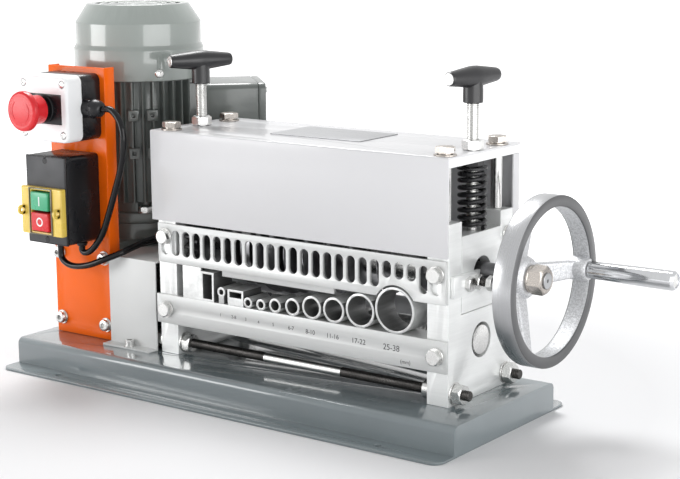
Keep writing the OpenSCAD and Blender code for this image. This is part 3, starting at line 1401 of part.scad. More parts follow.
module estop_lead() { color("black") lead(estop_route); }
module motor_lead() { color("black") lead(motor_route); }

// Press springs, screws and T grips
module press_spring(x) {
    color("black") translate([x, axis_y, spring_z0 + wire_d / 2]) tube_solid(coil_rings, spring_sides);
}
module left_spring() { press_spring(plate_xs[0]); }
module right_spring() { press_spring(plate_xs[1]); }
module press_screw(x) {
    color("silver") {
        z_cyl(rod_d, block_z1 + screw_tip, tee_z - tee_mid_d / 4, x, axis_y);
        z_cyl(tip_d, block_z1 - tip_hole_depth + seat_gap, block_z1 + screw_tip, x, axis_y);
    }
}
module left_press_screw() { press_screw(plate_xs[0]); }
module right_press_screw() { press_screw(plate_xs[1]); }
module tee_grip(x, turn) {
    color("black") translate([x, axis_y, tee_z]) rotate([0, 0, -turn]) difference() {
        union() {
            translate([0, -tee_len / 2, 0]) along_y() rotate_extrude() polygon([
                [0, 0], [tee_end_d / 2 - bevel, 0], [tee_end_d / 2, bevel],
                [tee_mid_d / 2, tee_len / 2 - tee_mid_d / 2], [tee_mid_d / 2, tee_len / 2 + tee_mid_d / 2],
                [tee_end_d / 2, tee_len - bevel],
                [tee_end_d / 2 - bevel, tee_len], [0, tee_len]
            ]);
            translate([0, 0, -tee_collar_drop]) cylinder(d = tee_collar_d, h = tee_collar_drop);
        }
        translate([0, 0, -tee_collar_drop - over])
            cylinder(d = rod_d + 2 * run_gap, h = tee_collar_drop - tee_mid_d / 4 + over + seat_gap);
    }
}
module left_grip() { tee_grip(plate_xs[0], left_tee_turn); }
module right_grip() { tee_grip(plate_xs[1], right_tee_turn); }

base_tray();
left_end_plate();
right_end_plate();
top_plate();
hood();
back_cover();
pillars();
hex_bolts();
nameplate_blank();
tie_rods();
hex_nuts();
guard_plate();
guide_bar();
guide_tubes();
retaining_plates();
lower_bearings();
coupling_guard();
gearbox_housing();
gearbox_cover();
motor_frame();
motor_flange();
fan_cowl();
terminal_box();
terminal_lid();
cable_glands();
control_column();
screws();
estop_housing();
estop_cover();
switch_body();
switch_plate();
switch_bezel();
estop_lead();
motor_lead();
left_spring();
right_spring();
bearing_blocks();
block_bearings();
blade_shaft();
cutter_discs();
disc_spacers();
upper_gear();
handwheel();
wheel_nut();
crank_pin();
crank_grip();
feed_roller();
lower_gear();
drive_coupling();
worm_wheel();
motor_rotor();
cooling_fan();
left_press_screw();
right_press_screw();
left_grip();
right_grip();
estop_stem();
estop_button();
start_button();
stop_button();
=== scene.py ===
"""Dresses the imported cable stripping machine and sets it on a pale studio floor."""

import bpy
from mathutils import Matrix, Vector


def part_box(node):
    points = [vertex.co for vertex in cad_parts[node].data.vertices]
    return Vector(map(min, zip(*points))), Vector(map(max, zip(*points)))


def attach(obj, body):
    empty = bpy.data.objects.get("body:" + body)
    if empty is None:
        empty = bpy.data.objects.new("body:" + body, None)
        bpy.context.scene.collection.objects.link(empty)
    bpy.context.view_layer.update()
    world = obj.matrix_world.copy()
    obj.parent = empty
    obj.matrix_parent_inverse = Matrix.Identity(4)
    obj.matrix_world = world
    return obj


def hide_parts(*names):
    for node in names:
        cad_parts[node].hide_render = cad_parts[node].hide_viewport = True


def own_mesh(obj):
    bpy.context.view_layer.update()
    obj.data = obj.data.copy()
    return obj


bl_info = {
    "name": "Cable stripping machine",
    "version": (1, 0, 0),
    "blender": (4, 5, 0),
    "location": "View3D > Sidebar > Cable stripper",
    "description": "Adds the finished pieces of a bench cable stripping machine round its frame",
    "category": "Object",
}

import math

import bpy
from mathutils.bvhtree import BVHTree
from mathutils import Matrix, Vector

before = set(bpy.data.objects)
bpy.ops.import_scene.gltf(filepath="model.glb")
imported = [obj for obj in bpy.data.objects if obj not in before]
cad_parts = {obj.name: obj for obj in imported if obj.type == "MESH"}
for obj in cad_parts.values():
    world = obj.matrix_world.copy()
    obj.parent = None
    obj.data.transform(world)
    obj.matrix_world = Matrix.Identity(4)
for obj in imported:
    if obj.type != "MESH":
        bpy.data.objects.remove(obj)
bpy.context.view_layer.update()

MM = 0.001
SHAFT_Y = 14.5
UPPER_Z = 152.0
LOWER_Z = 85.0
PLATE_XS = (-103.0, 238.0)
PLATE_OUTS = (-115.0, 250.0)
MIDDLE_X = 67.5
CRANK_Y = SHAFT_Y + 68.0
ROD_Z = 42.0
SEAT_Z = 251.5
STOP_Z = 289.5
ARM_YS = (-33.75, 59.75)
DRIVE_X = -233.0
MOTOR_Y = 58.5
AXIS_TURNS = {
    "z": Matrix.Identity(4),
    "x": Matrix.Rotation(math.radians(90), 4, "Y"),
    "-x": Matrix.Rotation(math.radians(-90), 4, "Y"),
    "y": Matrix.Rotation(math.radians(-90), 4, "X"),
    "-y": Matrix.Rotation(math.radians(90), 4, "X"),
    "-z": Matrix.Rotation(math.radians(180), 4, "X"),
}


# ---------------------------------------------------------------- settings
class StripperColours(bpy.types.PropertyGroup):
    """Colours of the paints and plastics"""

    def colour(label, text, value):
        return bpy.props.FloatVectorProperty(
            name=label, description=text, default=value, size=3, min=0.0, max=1.0, subtype="COLOR"
        )

    base: colour("Base paint", "Glossy grey enamel of the base tray", (0.185, 0.222, 0.235))
    cowl: colour("Cowl paint", "Grey green enamel of the fan cowl", (0.295, 0.33, 0.31))
    motor: colour("Motor paint", "Darker enamel of the motor and its boxes", (0.115, 0.13, 0.122))
    hood: colour("Hood paint", "Pale paint of the hood", (0.65, 0.65, 0.665))
    cover: colour("Cover paint", "Pale paint of the coupling guard", (0.71, 0.72, 0.715))
    column: colour("Column paint", "Orange paint of the control column", (1.0, 0.15, 0.003))
    milled: colour("Milled plate", "Milled plates and the slotted guard", (0.66, 0.67, 0.665))
    steel: colour("Plated steel", "Zinc plated nuts, bolts and rods", (0.62, 0.62, 0.61))
    nickel: colour("Nickel", "Warm plated bolt heads on the hood", (0.48, 0.445, 0.41))
    blackened: colour("Blackened steel", "Springs and threaded rods", (0.018, 0.018, 0.02))
    wheel: colour("Hand wheel", "Turned and cast faces of the hand wheel", (0.42, 0.425, 0.435))
    black: colour("Black plastic", "Boxes, grips and glands", (0.012, 0.012, 0.014))
    grey: colour("Grey plastic", "Front plate of the switch", (0.06, 0.062, 0.067))
    white: colour("White plastic", "Cover of the emergency stop box", (0.92, 0.93, 0.94))
    yellow: colour("Yellow plastic", "Frame round the two keys", (0.83, 0.60, 0.10))
    red: colour("Red plastic", "Mushroom button and stop key", (0.72, 0.022, 0.03))
    green: colour("Green plastic", "Start key", (0.03, 0.42, 0.20))


class StripperSizes(bpy.types.PropertyGroup):
    """Sizes of the details added to the frame"""

    def length(label, text, value):
        return bpy.props.FloatProperty(
            name=label, description=text, default=value, min=0.0, max=0.2, unit="LENGTH", subtype="DISTANCE"
        )

    edge: length("Edge break", "Width of the broken edges on the milled plates", 0.0005)
    sheet_edge: length("Sheet edge", "Width of the broken edges on the sheet metal", 0.0003)
    plastic_edge: length("Moulded edge", "Rounding of the moulded boxes", 0.0012)
    thread_pitch: length("Thread pitch", "Pitch of the visible threads", 0.00175)
    thread_depth: length("Thread depth", "Depth of the visible threads", 0.0008)
    lead: length("Lead", "Diameter of the two leads", 0.007)


class StripperStage(bpy.types.PropertyGroup):
    """Floor, lamps and camera"""

    floor: bpy.props.FloatVectorProperty(
        name="Floor", description="Colour of the floor", default=(0.80, 0.80, 0.81), size=3, subtype="COLOR"
    )
    key: bpy.props.FloatProperty(
        name="Key lamp", description="Power of the key lamp", default=7.3, min=0.0, unit="POWER"
    )
    fill: bpy.props.FloatProperty(
        name="Fill lamp", description="Power of the fill lamp", default=7.5, min=0.0, unit="POWER"
    )
    top: bpy.props.FloatProperty(
        name="Top lamp", description="Power of the lamp overhead", default=28.0, min=0.0, unit="POWER"
    )
    sky: bpy.props.FloatProperty(
        name="Room light", description="Strength of the even light of the room", default=0.31, min=0.0
    )
    glow: bpy.props.FloatProperty(
        name="Floor glow", description="Light given off by the floor under the machine", default=0.0, min=0.0
    )
    lens: bpy.props.FloatProperty(
        name="Lens", description="Focal length of the camera", default=87.27, min=1.0, unit="CAMERA"
    )


def settings(name):
    return getattr(bpy.context.scene, name)


# ---------------------------------------------------------------- node groups
def add_node(tree, kind, **values):
    """Adds a node; values name its inputs, or its attributes when they begin with a small letter."""
    node = tree.nodes.new(kind)
    for key, value in values.items():
        if key[0].islower():
            setattr(node, key, value)
        else:
            node.inputs[key.replace("_", " ")].default_value = value
    return node


def new_group(name, inputs, outputs):
    tree = bpy.data.node_groups.new(name, "ShaderNodeTree")
    for direction, sockets in (("INPUT", inputs), ("OUTPUT", outputs)):
        for label, kind, value in sockets:
            socket = tree.interface.new_socket(label, in_out=direction, socket_type="NodeSocket" + kind)
            if value is not None:
                socket.default_value = value
    return tree, tree.nodes.new("NodeGroupInput"), tree.nodes.new("NodeGroupOutput")


SURFACE_INPUTS = (
    ("Color", "Color", (0.5, 0.5, 0.5, 1)),
    ("Shade", "Color", (0.4, 0.4, 0.4, 1)),
    ("Scale", "Float", 40.0),
    ("Fine Scale", "Float", 900.0),
    ("Smooth", "Float", 0.3),
    ("Rough", "Float", 0.4),
    ("Stretch", "Vector", (1.0, 1.0, 1.0)),
)
SURFACE_OUTPUTS = (("Color", "Color", None), ("Roughness", "Float", None), ("Height", "Float", None))


def surface_group(name, build):
    """A group that turns two colours and two roughnesses into a varying surface."""
    tree, start, end = new_group(name, SURFACE_INPUTS, SURFACE_OUTPUTS)
    place = add_node(tree, "ShaderNodeTexCoord")
    scale = add_node(tree, "ShaderNodeVectorMath", operation="MULTIPLY")
    tree.links.new(place.outputs["Object"], scale.inputs[0])
    tree.links.new(start.outputs["Stretch"], scale.inputs[1])
    patch, height = build(tree, start, scale.outputs[0])
    mix = add_node(tree, "ShaderNodeMix", data_type="RGBA")
    tree.links.new(patch, mix.inputs["Factor"])
    tree.links.new(start.outputs["Color"], mix.inputs["A"])
    tree.links.new(start.outputs["Shade"], mix.inputs["B"])
    rough = add_node(tree, "ShaderNodeMapRange")
    tree.links.new(patch, rough.inputs["Value"])
    tree.links.new(start.outputs["Smooth"], rough.inputs["To Min"])
    tree.links.new(start.outputs["Rough"], rough.inputs["To Max"])
    tree.links.new(mix.outputs["Result"], end.inputs["Color"])
    tree.links.new(rough.outputs["Result"], end.inputs["Roughness"])
    tree.links.new(height, end.inputs["Height"])
    return tree


def noise(tree, start, place, scale, detail=3.0, rough=0.5):
    node = add_node(tree, "ShaderNodeTexNoise", Detail=detail, Roughness=rough)
    tree.links.new(place, node.inputs["Vector"])
    tree.links.new(start.outputs[scale], node.inputs["Scale"])
    return node.outputs["Fac"]


def contrast(tree, value, low, high):
    node = add_node(tree, "ShaderNodeMapRange", clamp=True)
    node.inputs["From Min"].default_value = low
    node.inputs["From Max"].default_value = high
    tree.links.new(value, node.inputs["Value"])
    return node.outputs["Result"]


def weighed(tree, value, share, other):
    """One value times a share, plus another."""
    both = add_node(tree, "ShaderNodeMath", operation="MULTIPLY_ADD")
    tree.links.new(value, both.inputs[0])
    both.inputs[1].default_value = share
    tree.links.new(other, both.inputs[2])
    return both.outputs[0]


def build_paint(tree, start, place):
    """Soft mottling with orange peel."""
    patch = contrast(tree, noise(tree, start, place, "Scale", 4.0), 0.35, 0.7)
    return patch, noise(tree, start, place, "Fine Scale", 2.0)


def build_metal(tree, start, place):
    """Long fine lines from a tool or a roller."""
    wide = noise(tree, start, place, "Scale", 5.0, 0.65)
    fine = noise(tree, start, place, "Fine Scale", 4.0, 0.7)
    return contrast(tree, weighed(tree, fine, 0.6, wide), 0.62, 1.0), fine


def build_cast(tree, start, place):
    """Pebbled grains of a sand casting."""
    cells = add_node(tree, "ShaderNodeTexVoronoi", feature="SMOOTH_F1", Smoothness=0.6)
    tree.links.new(place, cells.inputs["Vector"])
    tree.links.new(start.outputs["Fine Scale"], cells.inputs["Scale"])
    grain = noise(tree, start, place, "Scale", 6.0, 0.7)
    pebbles = weighed(tree, cells.outputs["Distance"], 0.7, grain)
    return contrast(tree, pebbles, 0.55, 1.0), pebbles


def build_wheel(tree, start, place):
    """Rings left by a lathe about the X axis through the shaft."""
    part = add_node(tree, "ShaderNodeSeparateXYZ")
    tree.links.new(place, part.inputs[0])
    dy = add_node(tree, "ShaderNodeMath", operation="SUBTRACT")
    dy.inputs[1].default_value = SHAFT_Y * MM
    dz = add_node(tree, "ShaderNodeMath", operation="SUBTRACT")
    dz.inputs[1].default_value = UPPER_Z * MM
    tree.links.new(part.outputs["Y"], dy.inputs[0])
    tree.links.new(part.outputs["Z"], dz.inputs[0])
    flat = add_node(tree, "ShaderNodeCombineXYZ")
    tree.links.new(dy.outputs[0], flat.inputs["X"])
    tree.links.new(dz.outputs[0], flat.inputs["Y"])
    reach = add_node(tree, "ShaderNodeVectorMath", operation="LENGTH")
    tree.links.new(flat.outputs[0], reach.inputs[0])
    line = add_node(tree, "ShaderNodeCombineXYZ")
    tree.links.new(part.outputs["X"], line.inputs["X"])
    tree.links.new(reach.outputs["Value"], line.inputs["Y"])
    fine = noise(tree, start, line.outputs[0], "Fine Scale", 3.0, 0.7)
    wide = noise(tree, start, place, "Scale", 3.0)
    return contrast(tree, weighed(tree, fine, 0.7, wide), 0.6, 1.05), fine


def lighter(colour, share):
    return tuple(min(1.0, channel * share) for channel in colour)


def surface(name, group, colour, shade, rough, scale, fine, bump=0.15, depth=0.0002,
            metallic=0.0, coat=0.0, stretch=(1, 1, 1), gloss=0.5, coat_ior=1.5):
    """A material whose colour, roughness and bump vary through one of the surface groups."""
    paint = bpy.data.materials.new(name)
    paint.use_nodes = True
    tree = paint.node_tree
    shader = tree.nodes["Principled BSDF"]
    group_node = add_node(tree, "ShaderNodeGroup", node_tree=bpy.data.node_groups[group])
    for key, value in (("Color", (*colour, 1)), ("Shade", (*lighter(colour, shade), 1)), ("Scale", scale),
                       ("Fine Scale", fine), ("Smooth", rough[0]), ("Rough", rough[1]), ("Stretch", stretch)):
        group_node.inputs[key].default_value = value
    relief = add_node(tree, "ShaderNodeBump", Strength=bump, Distance=depth)
    tree.links.new(group_node.outputs["Color"], shader.inputs["Base Color"])
    tree.links.new(group_node.outputs["Roughness"], shader.inputs["Roughness"])
    tree.links.new(group_node.outputs["Height"], relief.inputs["Height"])
    tree.links.new(relief.outputs["Normal"], shader.inputs["Normal"])
    shader.inputs["Metallic"].default_value = metallic
    shader.inputs["Specular IOR Level"].default_value = gloss
    shader.inputs["Coat Weight"].default_value = coat
    shader.inputs["Coat Roughness"].default_value = 0.09
    shader.inputs["Coat IOR"].default_value = coat_ior
    return paint


def make_finishes():
    """All node groups and materials, by name."""
    for name, build in (("Mottled paint", build_paint), ("Drawn metal", build_metal),
                        ("Cast grain", build_cast), ("Turned metal", build_wheel)):
        surface_group(name, build)
    c = settings("stripper_colours")
    p, m = "Mottled paint", "Drawn metal"
    surface("Base enamel", p, c.base, 0.9, (0.2, 0.28), 14, 260, 0.008, coat=0.85, coat_ior=1.55)
    surface("Cowl enamel", p, c.cowl, 0.93, (0.30, 0.36), 18, 300, 0.01, coat=0.9, coat_ior=1.6)
    surface("Motor enamel", p, c.motor, 0.8, (0.30, 0.42), 30, 500, 0.08, coat=0.45)
    surface("Hood paint", p, c.hood, 0.985, (0.34, 0.40), 12, 500, 0.02, coat=0.45)
    surface("Cover paint", p, c.cover, 0.95, (0.34, 0.44), 16, 500, 0.06)
    surface("Column paint", p, c.column, 0.92, (0.3, 0.38), 16, 420, 0.04, coat=0.2, gloss=0.15)
    # The milled colour 1.36 times lighter than the slotted guard: painted light on the end plates, top bar,
    # blocks and keepers.
    surface("Milled plate", m, lighter(c.milled, 1.36), 0.9, (0.28, 0.42), 3, 60, 0.06, metallic=0.35,
            stretch=(1, 1, 30))
    surface("Slotted plate", m, c.milled, 0.94, (0.34, 0.48), 3, 70, 0.06, metallic=0.35, stretch=(1, 30, 30))
    surface("Guide metal", m, c.milled, 0.85, (0.32, 0.5), 8, 120, 0.08, metallic=0.6, stretch=(30, 1, 30))
    # A copy of the guide metal at 0.3 times its colour: painted shade inside the bores and between the tubes.
    surface("Guide bore painted shade", m, lighter(c.milled, 0.3), 0.7, (0.36, 0.5), 8, 120, 0.08, metallic=0.6,
            stretch=(30, 1, 30))
    surface("Plated steel", m, lighter(c.steel, 1.15), 0.84, (0.22, 0.36), 30, 400, 0.08, metallic=1.0)
    surface("Warm nickel", m, c.nickel, 0.75, (0.2, 0.34), 40, 400, 0.08, metallic=1.0)
    surface("Bright rod", m, lighter(c.steel, 0.9), 0.9, (0.16, 0.26), 10, 200, 0.03, metallic=1.0,
            stretch=(1, 1, 20))
    surface("Polished chrome", m, (0.62, 0.63, 0.645), 0.92, (0.07, 0.13), 10, 200, 0.01, metallic=1.0)
    surface("Blackened steel", p, c.blackened, 0.6, (0.22, 0.4), 60, 800, 0.1, metallic=0.4)
    # Cutter discs darkened to 0.3: painted shade for the dark inside behind the guard slots.
    surface("Blade steel painted shade", "Turned metal", (0.3, 0.3, 0.31), 0.7, (0.28, 0.4), 10, 900, 0.05, metallic=1.0)
    surface("Dark thread", m, (0.078, 0.074, 0.071), 0.6, (0.24, 0.4), 60, 400, 0.1, metallic=0.8)
    surface("Dark steel", m, (0.14, 0.14, 0.145), 0.6, (0.28, 0.45), 20, 400, 0.1, metallic=0.9)
    surface("Turned iron", "Turned metal", lighter(c.wheel, 1.15), 0.85, (0.22, 0.34), 14, 1400, 0.05,
            metallic=1.0)
    # A dark copy of the turned iron, 0.36 times the wheel colour: painted shade on the flat faces of the rim.
    surface("Faced iron painted shade", "Turned metal", lighter(c.wheel, 0.36), 0.85, (0.26, 0.38), 14, 1400, 0.04,
            metallic=1.0)
    surface("Cast iron", "Cast grain", lighter(c.wheel, 1.75), 0.72, (0.34, 0.55), 420, 620, 0.7, 0.0004,
            metallic=0.7)
    surface("Bronze", m, (0.55, 0.34, 0.12), 0.8, (0.25, 0.4), 30, 300, 0.08, metallic=1.0)
    surface("Black plastic", p, c.black, 0.6, (0.24, 0.36), 40, 1500, 0.1, gloss=0.35)
    surface("Black grip", p, c.black, 0.6, (0.3, 0.42), 60, 900, 0.16, coat=0.1)
    surface("Lead sheath", p, lighter(c.black, 0.5), 0.7, (0.08, 0.13), 60, 700, 0.02, gloss=0.28)
    surface("Grey plastic", p, c.grey, 0.85, (0.4, 0.5), 40, 1500, 0.12, gloss=0.3)
    surface("White plastic", p, c.white, 0.97, (0.28, 0.4), 30, 1500, 0.06)
    surface("Yellow plastic", p, c.yellow, 0.9, (0.24, 0.34), 40, 1200, 0.05, coat=0.2)
    surface("Red plastic", p, c.red, 0.85, (0.24, 0.34), 40, 900, 0.05, coat=0.1, gloss=0.35)
    surface("Green plastic", p, c.green, 0.85, (0.24, 0.34), 40, 900, 0.06, coat=0.3)
    surface("Smoked plastic", p, (0.17, 0.15, 0.1), 0.8, (0.1, 0.16), 40, 900, 0.03, coat=0.3)
    surface("Bare label", m, (0.36, 0.365, 0.375), 0.8, (0.3, 0.42), 20, 200, 0.05, metallic=0.6,
            stretch=(1, 30, 1))
    surface("Ink", p, (0.03, 0.03, 0.035), 0.8, (0.5, 0.6), 100, 900, 0.02)
    surface("White ink", p, (0.85, 0.85, 0.85), 0.95, (0.4, 0.5), 100, 900, 0.02)


def finish(name):
    return bpy.data.materials[name]


# ---------------------------------------------------------------- modelling helpers
def clear():
    if bpy.context.object and bpy.context.object.mode != "OBJECT":
        bpy.ops.object.mode_set(mode="OBJECT")
    bpy.ops.object.select_all(action="DESELECT")


def choose(*objects):
    clear()
    for item in objects:
        item.select_set(True)
    bpy.context.view_layer.objects.active = objects[0]


def edit():
    bpy.ops.object.mode_set(mode="EDIT")
    bpy.ops.mesh.select_all(action="SELECT")


def leave():
    bpy.ops.object.mode_set(mode="OBJECT")


def apply_modifiers(item):
    choose(item)
    for modifier in list(item.modifiers):
        bpy.ops.object.modifier_apply(modifier=modifier.name)


def soften(item, width, segments=2, angle=35.0):
    """Rounds the edges sharper than the angle."""
    bevel = item.modifiers.new("Edges", "BEVEL")
    bevel.width, bevel.segments, bevel.limit_method = width, segments, "ANGLE"
    bevel.angle_limit = math.radians(angle)
    bevel.use_clamp_overlap = False
    bevel.harden_normals = False
    apply_modifiers(item)
    return item


def settle(item, matrix=None):
    """Puts a piece's place into its mesh, so that its object stays at the origin."""
    choose(item)
    if matrix is not None:
        item.matrix_world = matrix @ item.matrix_world
    bpy.ops.object.transform_apply(location=True, rotation=True, scale=True)
    return item


def at(x, y, z, axis="z", turn=0.0):
    """Matrix that carries a piece made on +Z at the origin to a place in millimetres."""
    return (Matrix.Translation(Vector((x, y, z)) * MM) @ AXIS_TURNS[axis]
            @ Matrix.Rotation(math.radians(turn), 4, "Z"))


def turned(profile, matrix=None, sides=48, closed=False):
    """A circle extruded and scaled through (radius, height) stations in millimetres."""
    clear()
    radius, height = profile[0]
    bpy.ops.mesh.primitive_circle_add(vertices=sides, radius=radius * MM, location=(0, 0, height * MM))
    item = bpy.context.object
    bpy.ops.object.transform_apply(location=True)
    edit()
    stations = list(profile[1:]) + ([profile[0]] if closed else [])
    for next_radius, next_height in stations:
        bpy.ops.mesh.extrude_region_move(
            TRANSFORM_OT_translate={"value": (0, 0, (next_height - height) * MM)}
        )
        share = next_radius / radius
        bpy.ops.transform.resize(value=(share, share, 1), center_override=(0, 0, next_height * MM))
        radius, height = next_radius, next_height
    bpy.ops.mesh.select_all(action="SELECT")
    if closed:
        bpy.ops.mesh.remove_doubles(threshold=1e-6)
    else:
        bpy.ops.mesh.fill_holes(sides=0)
    bpy.ops.mesh.normals_make_consistent(inside=False)
    leave()
    return settle(item, matrix) if matrix is not None else item


def block(low, high, width=0.0, segments=2, matrix=None):
    """A cube between two corners in millimetres, with its edges rounded."""
    clear()
    low, high = Vector(low), Vector(high)
    bpy.ops.mesh.primitive_cube_add(size=1, location=(low + high) / 2 * MM)
    item = bpy.context.object
    item.scale = (high - low) * MM
    settle(item)
    if width:
        soften(item, width * MM, segments)
    return settle(item, matrix) if matrix is not None else item


def joined(name, items):
    choose(*items)
    if len(items) > 1:
        bpy.ops.object.join()
    item = bpy.context.object
    item.name = item.data.name = name
    return item


def copied(item, matrix):
    """A copy with its own mesh, carried by a matrix."""
    twin = item.copy()
    twin.data = item.data.copy()
    bpy.context.collection.objects.link(twin)
    return settle(twin, matrix)


def discard(item):
    clear()
    bpy.data.objects.remove(item)


def cut(item, cutter, operation="DIFFERENCE"):
    tool = item.modifiers.new("Cut", "BOOLEAN")
    tool.operation, tool.object, tool.solver = operation, cutter, "EXACT"
    apply_modifiers(item)
    discard(cutter)
    return item


def complete(item, name, material, body, replaced=(), smooth=30.0):
    """Names a piece, gives it its finish and lets it ride on its body."""
    item.name = item.data.name = name
    choose(item)
    bpy.ops.object.shade_smooth_by_angle(angle=math.radians(smooth))
    if material is not None:
        item.data.materials.clear()
        item.data.materials.append(finish(material))
    if replaced:
        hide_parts(*replaced)
    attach(item, body)
    return item


def dressed(node, name, material, body, width=0.0, segments=2, angle=35.0, merge=0.6):
    """A merged copy of a frame piece with its edges broken, in place of the plain one."""
    item = bpy.data.objects.new(name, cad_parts[node].data.copy())
    bpy.context.collection.objects.link(item)
    choose(item)
    edit()
    bpy.ops.mesh.remove_doubles(threshold=2e-6)
    bpy.ops.mesh.dissolve_limited(angle_limit=math.radians(merge))
    leave()
    if width:
        soften(item, width, segments, angle)
    return complete(item, name, material, body, (node,))


def smooth_tube(name, points, radius, sides=8):
    """A round tube along a smooth line through points in metres."""
    line = bpy.data.curves.new(name, "CURVE")
    line.dimensions = "3D"
    line.bevel_depth = radius
    line.bevel_resolution = sides // 2
    line.use_fill_caps = True
    spline = line.splines.new("POLY")
    spline.points.add(len(points) - 1)
    for spot, place in zip(spline.points, points):
        spot.co = (*place, 1)
    item = bpy.data.objects.new(name, line)
    bpy.context.collection.objects.link(item)
    choose(item)
    bpy.ops.object.convert(target="MESH")
    return bpy.context.object


def thread(radius, low, high, matrix, sides=24, pitch=None, depth=None):
    """A threaded length: one groove, turned and repeated along the axis."""
    sizes = settings("stripper_sizes")
    pitch = (pitch or sizes.thread_pitch) / MM
    depth = (depth or sizes.thread_depth) / MM
    count = max(1, int((high - low) / pitch))
    pitch = (high - low) / count
    clear()
    bpy.ops.mesh.primitive_circle_add(vertices=sides, radius=(radius - depth) * MM)
    item = bpy.context.object
    edit()
    now = radius - depth
    for share, reach in ((0.44, radius), (0.12, radius), (0.44, radius - depth)):
        bpy.ops.mesh.extrude_region_move(TRANSFORM_OT_translate={"value": (0, 0, share * pitch * MM)})
        bpy.ops.transform.resize(value=(reach / now, reach / now, 1))
        now = reach
    leave()
    rows = item.modifiers.new("Pitches", "ARRAY")
    rows.count = count
    rows.use_relative_offset = False
    rows.use_constant_offset = True
    rows.constant_offset_displace = (0, 0, pitch * MM)
    rows.use_merge_vertices = True
    rows.merge_threshold = 1e-5
    apply_modifiers(item)
    edit()
    bpy.ops.mesh.fill_holes(sides=0)
    bpy.ops.mesh.normals_make_consistent(inside=False)
    leave()
    return settle(item, matrix @ Matrix.Translation((0, 0, low * MM)))


def hexagon(across, height, bore=0.0, crown=True):
    """A hexagon with turned corners on +Z, and its bore."""
    clear()
    bpy.ops.mesh.primitive_cylinder_add(
        vertices=6, radius=across / 2 / math.cos(math.radians(30)) * MM, depth=height * MM,
        location=(0, 0, height / 2 * MM),
    )
    item = settle(bpy.context.object)
    reach = across / 2
    low = reach * 0.97 if crown else reach * 1.3
    shape = [(low, 0), (reach * 1.18, height * 0.16), (reach * 1.18, height * 0.82), (reach * 0.94, height)]
    item = cut(item, turned(shape, sides=48), "INTERSECT")
    if bore:
        item = cut(item, turned([(bore / 2, -1), (bore / 2, height + 1)], sides=32))
    return item


def washer(outer, inner, height):
    edge = height * 0.2
    return turned(
        [(inner / 2, 0), (outer / 2 - edge, 0), (outer / 2, edge), (outer / 2, height - edge),
         (outer / 2 - edge, height), (inner / 2, height)],
        sides=40, closed=True,
    )


def bolt_stack(thread_d, across, head, washers):
    """Washer, spring washer and hexagon head, standing on +Z."""
    parts, height = [], 0.0
    for outer, thick in washers:
        ring = washer(outer, thread_d * 0.9, thick)
        parts.append(settle(ring, Matrix.Translation((0, 0, height * MM))))
        height += thick
    top = hexagon(across, head, crown=False)
    parts.append(settle(top, Matrix.Translation((0, 0, height * MM))))
    return joined("stack", parts)


class PieceOperator(bpy.types.Operator):
    """Adds one piece, or one group of like pieces"""

    bl_idname = "stripper.piece"
    bl_label = "Piece"
    bl_options = {"REGISTER", "UNDO"}

    def execute(self, context):
        self.build()
        clear()
        return {"FINISHED"}

    def build(self):
        raise NotImplementedError


# ---------------------------------------------------------------- frame, plates and boxes
class AddFinishes(PieceOperator):
    """Makes the paints, metals and plastics, and gives the listed frame pieces their own"""

    bl_idname = "stripper.add_finishes"
    bl_label = "Finishes"

    NODE_FINISHES = {
        "lower_bearings": "Dark steel", "block_bearings": "Dark steel",
        "blade_shaft": "Dark steel", "disc_spacers": "Plated steel", "drive_coupling": "Dark steel",
        "worm_wheel": "Bronze", "motor_rotor": "Plated steel", "cooling_fan": "Black plastic",
        "crank_pin": "Plated steel", "estop_stem": "Black plastic",
    }

    def build(self):
        make_finishes()
        for node, name in self.NODE_FINISHES.items():
            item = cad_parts[node]
            item.data.materials.clear()
            item.data.materials.append(finish(name))


class AddSheetMetal(PieceOperator):
    """Dresses the tray, hood, covers and column"""

    bl_idname = "stripper.add_sheet_metal"
    bl_label = "Sheet metal"

    def build(self):
        edge = settings("stripper_sizes").sheet_edge
        for node, name, paint, slot in (
            ("base_tray", "tray_pressing", "Base enamel", "grey_enamel"),
            ("hood", "hood_sheet", "Hood paint", "hood_paint"),
            ("back_cover", "back_sheet", "Hood paint", "hood_paint"),
            ("coupling_guard", "coupling_box", "Cover paint", "cover_paint"),
            ("control_column", "column_sheet", "Column paint", "orange_paint"),
        ):
            dressed(node, name, paint, "machine", edge * 2 if node == "control_column" else edge)


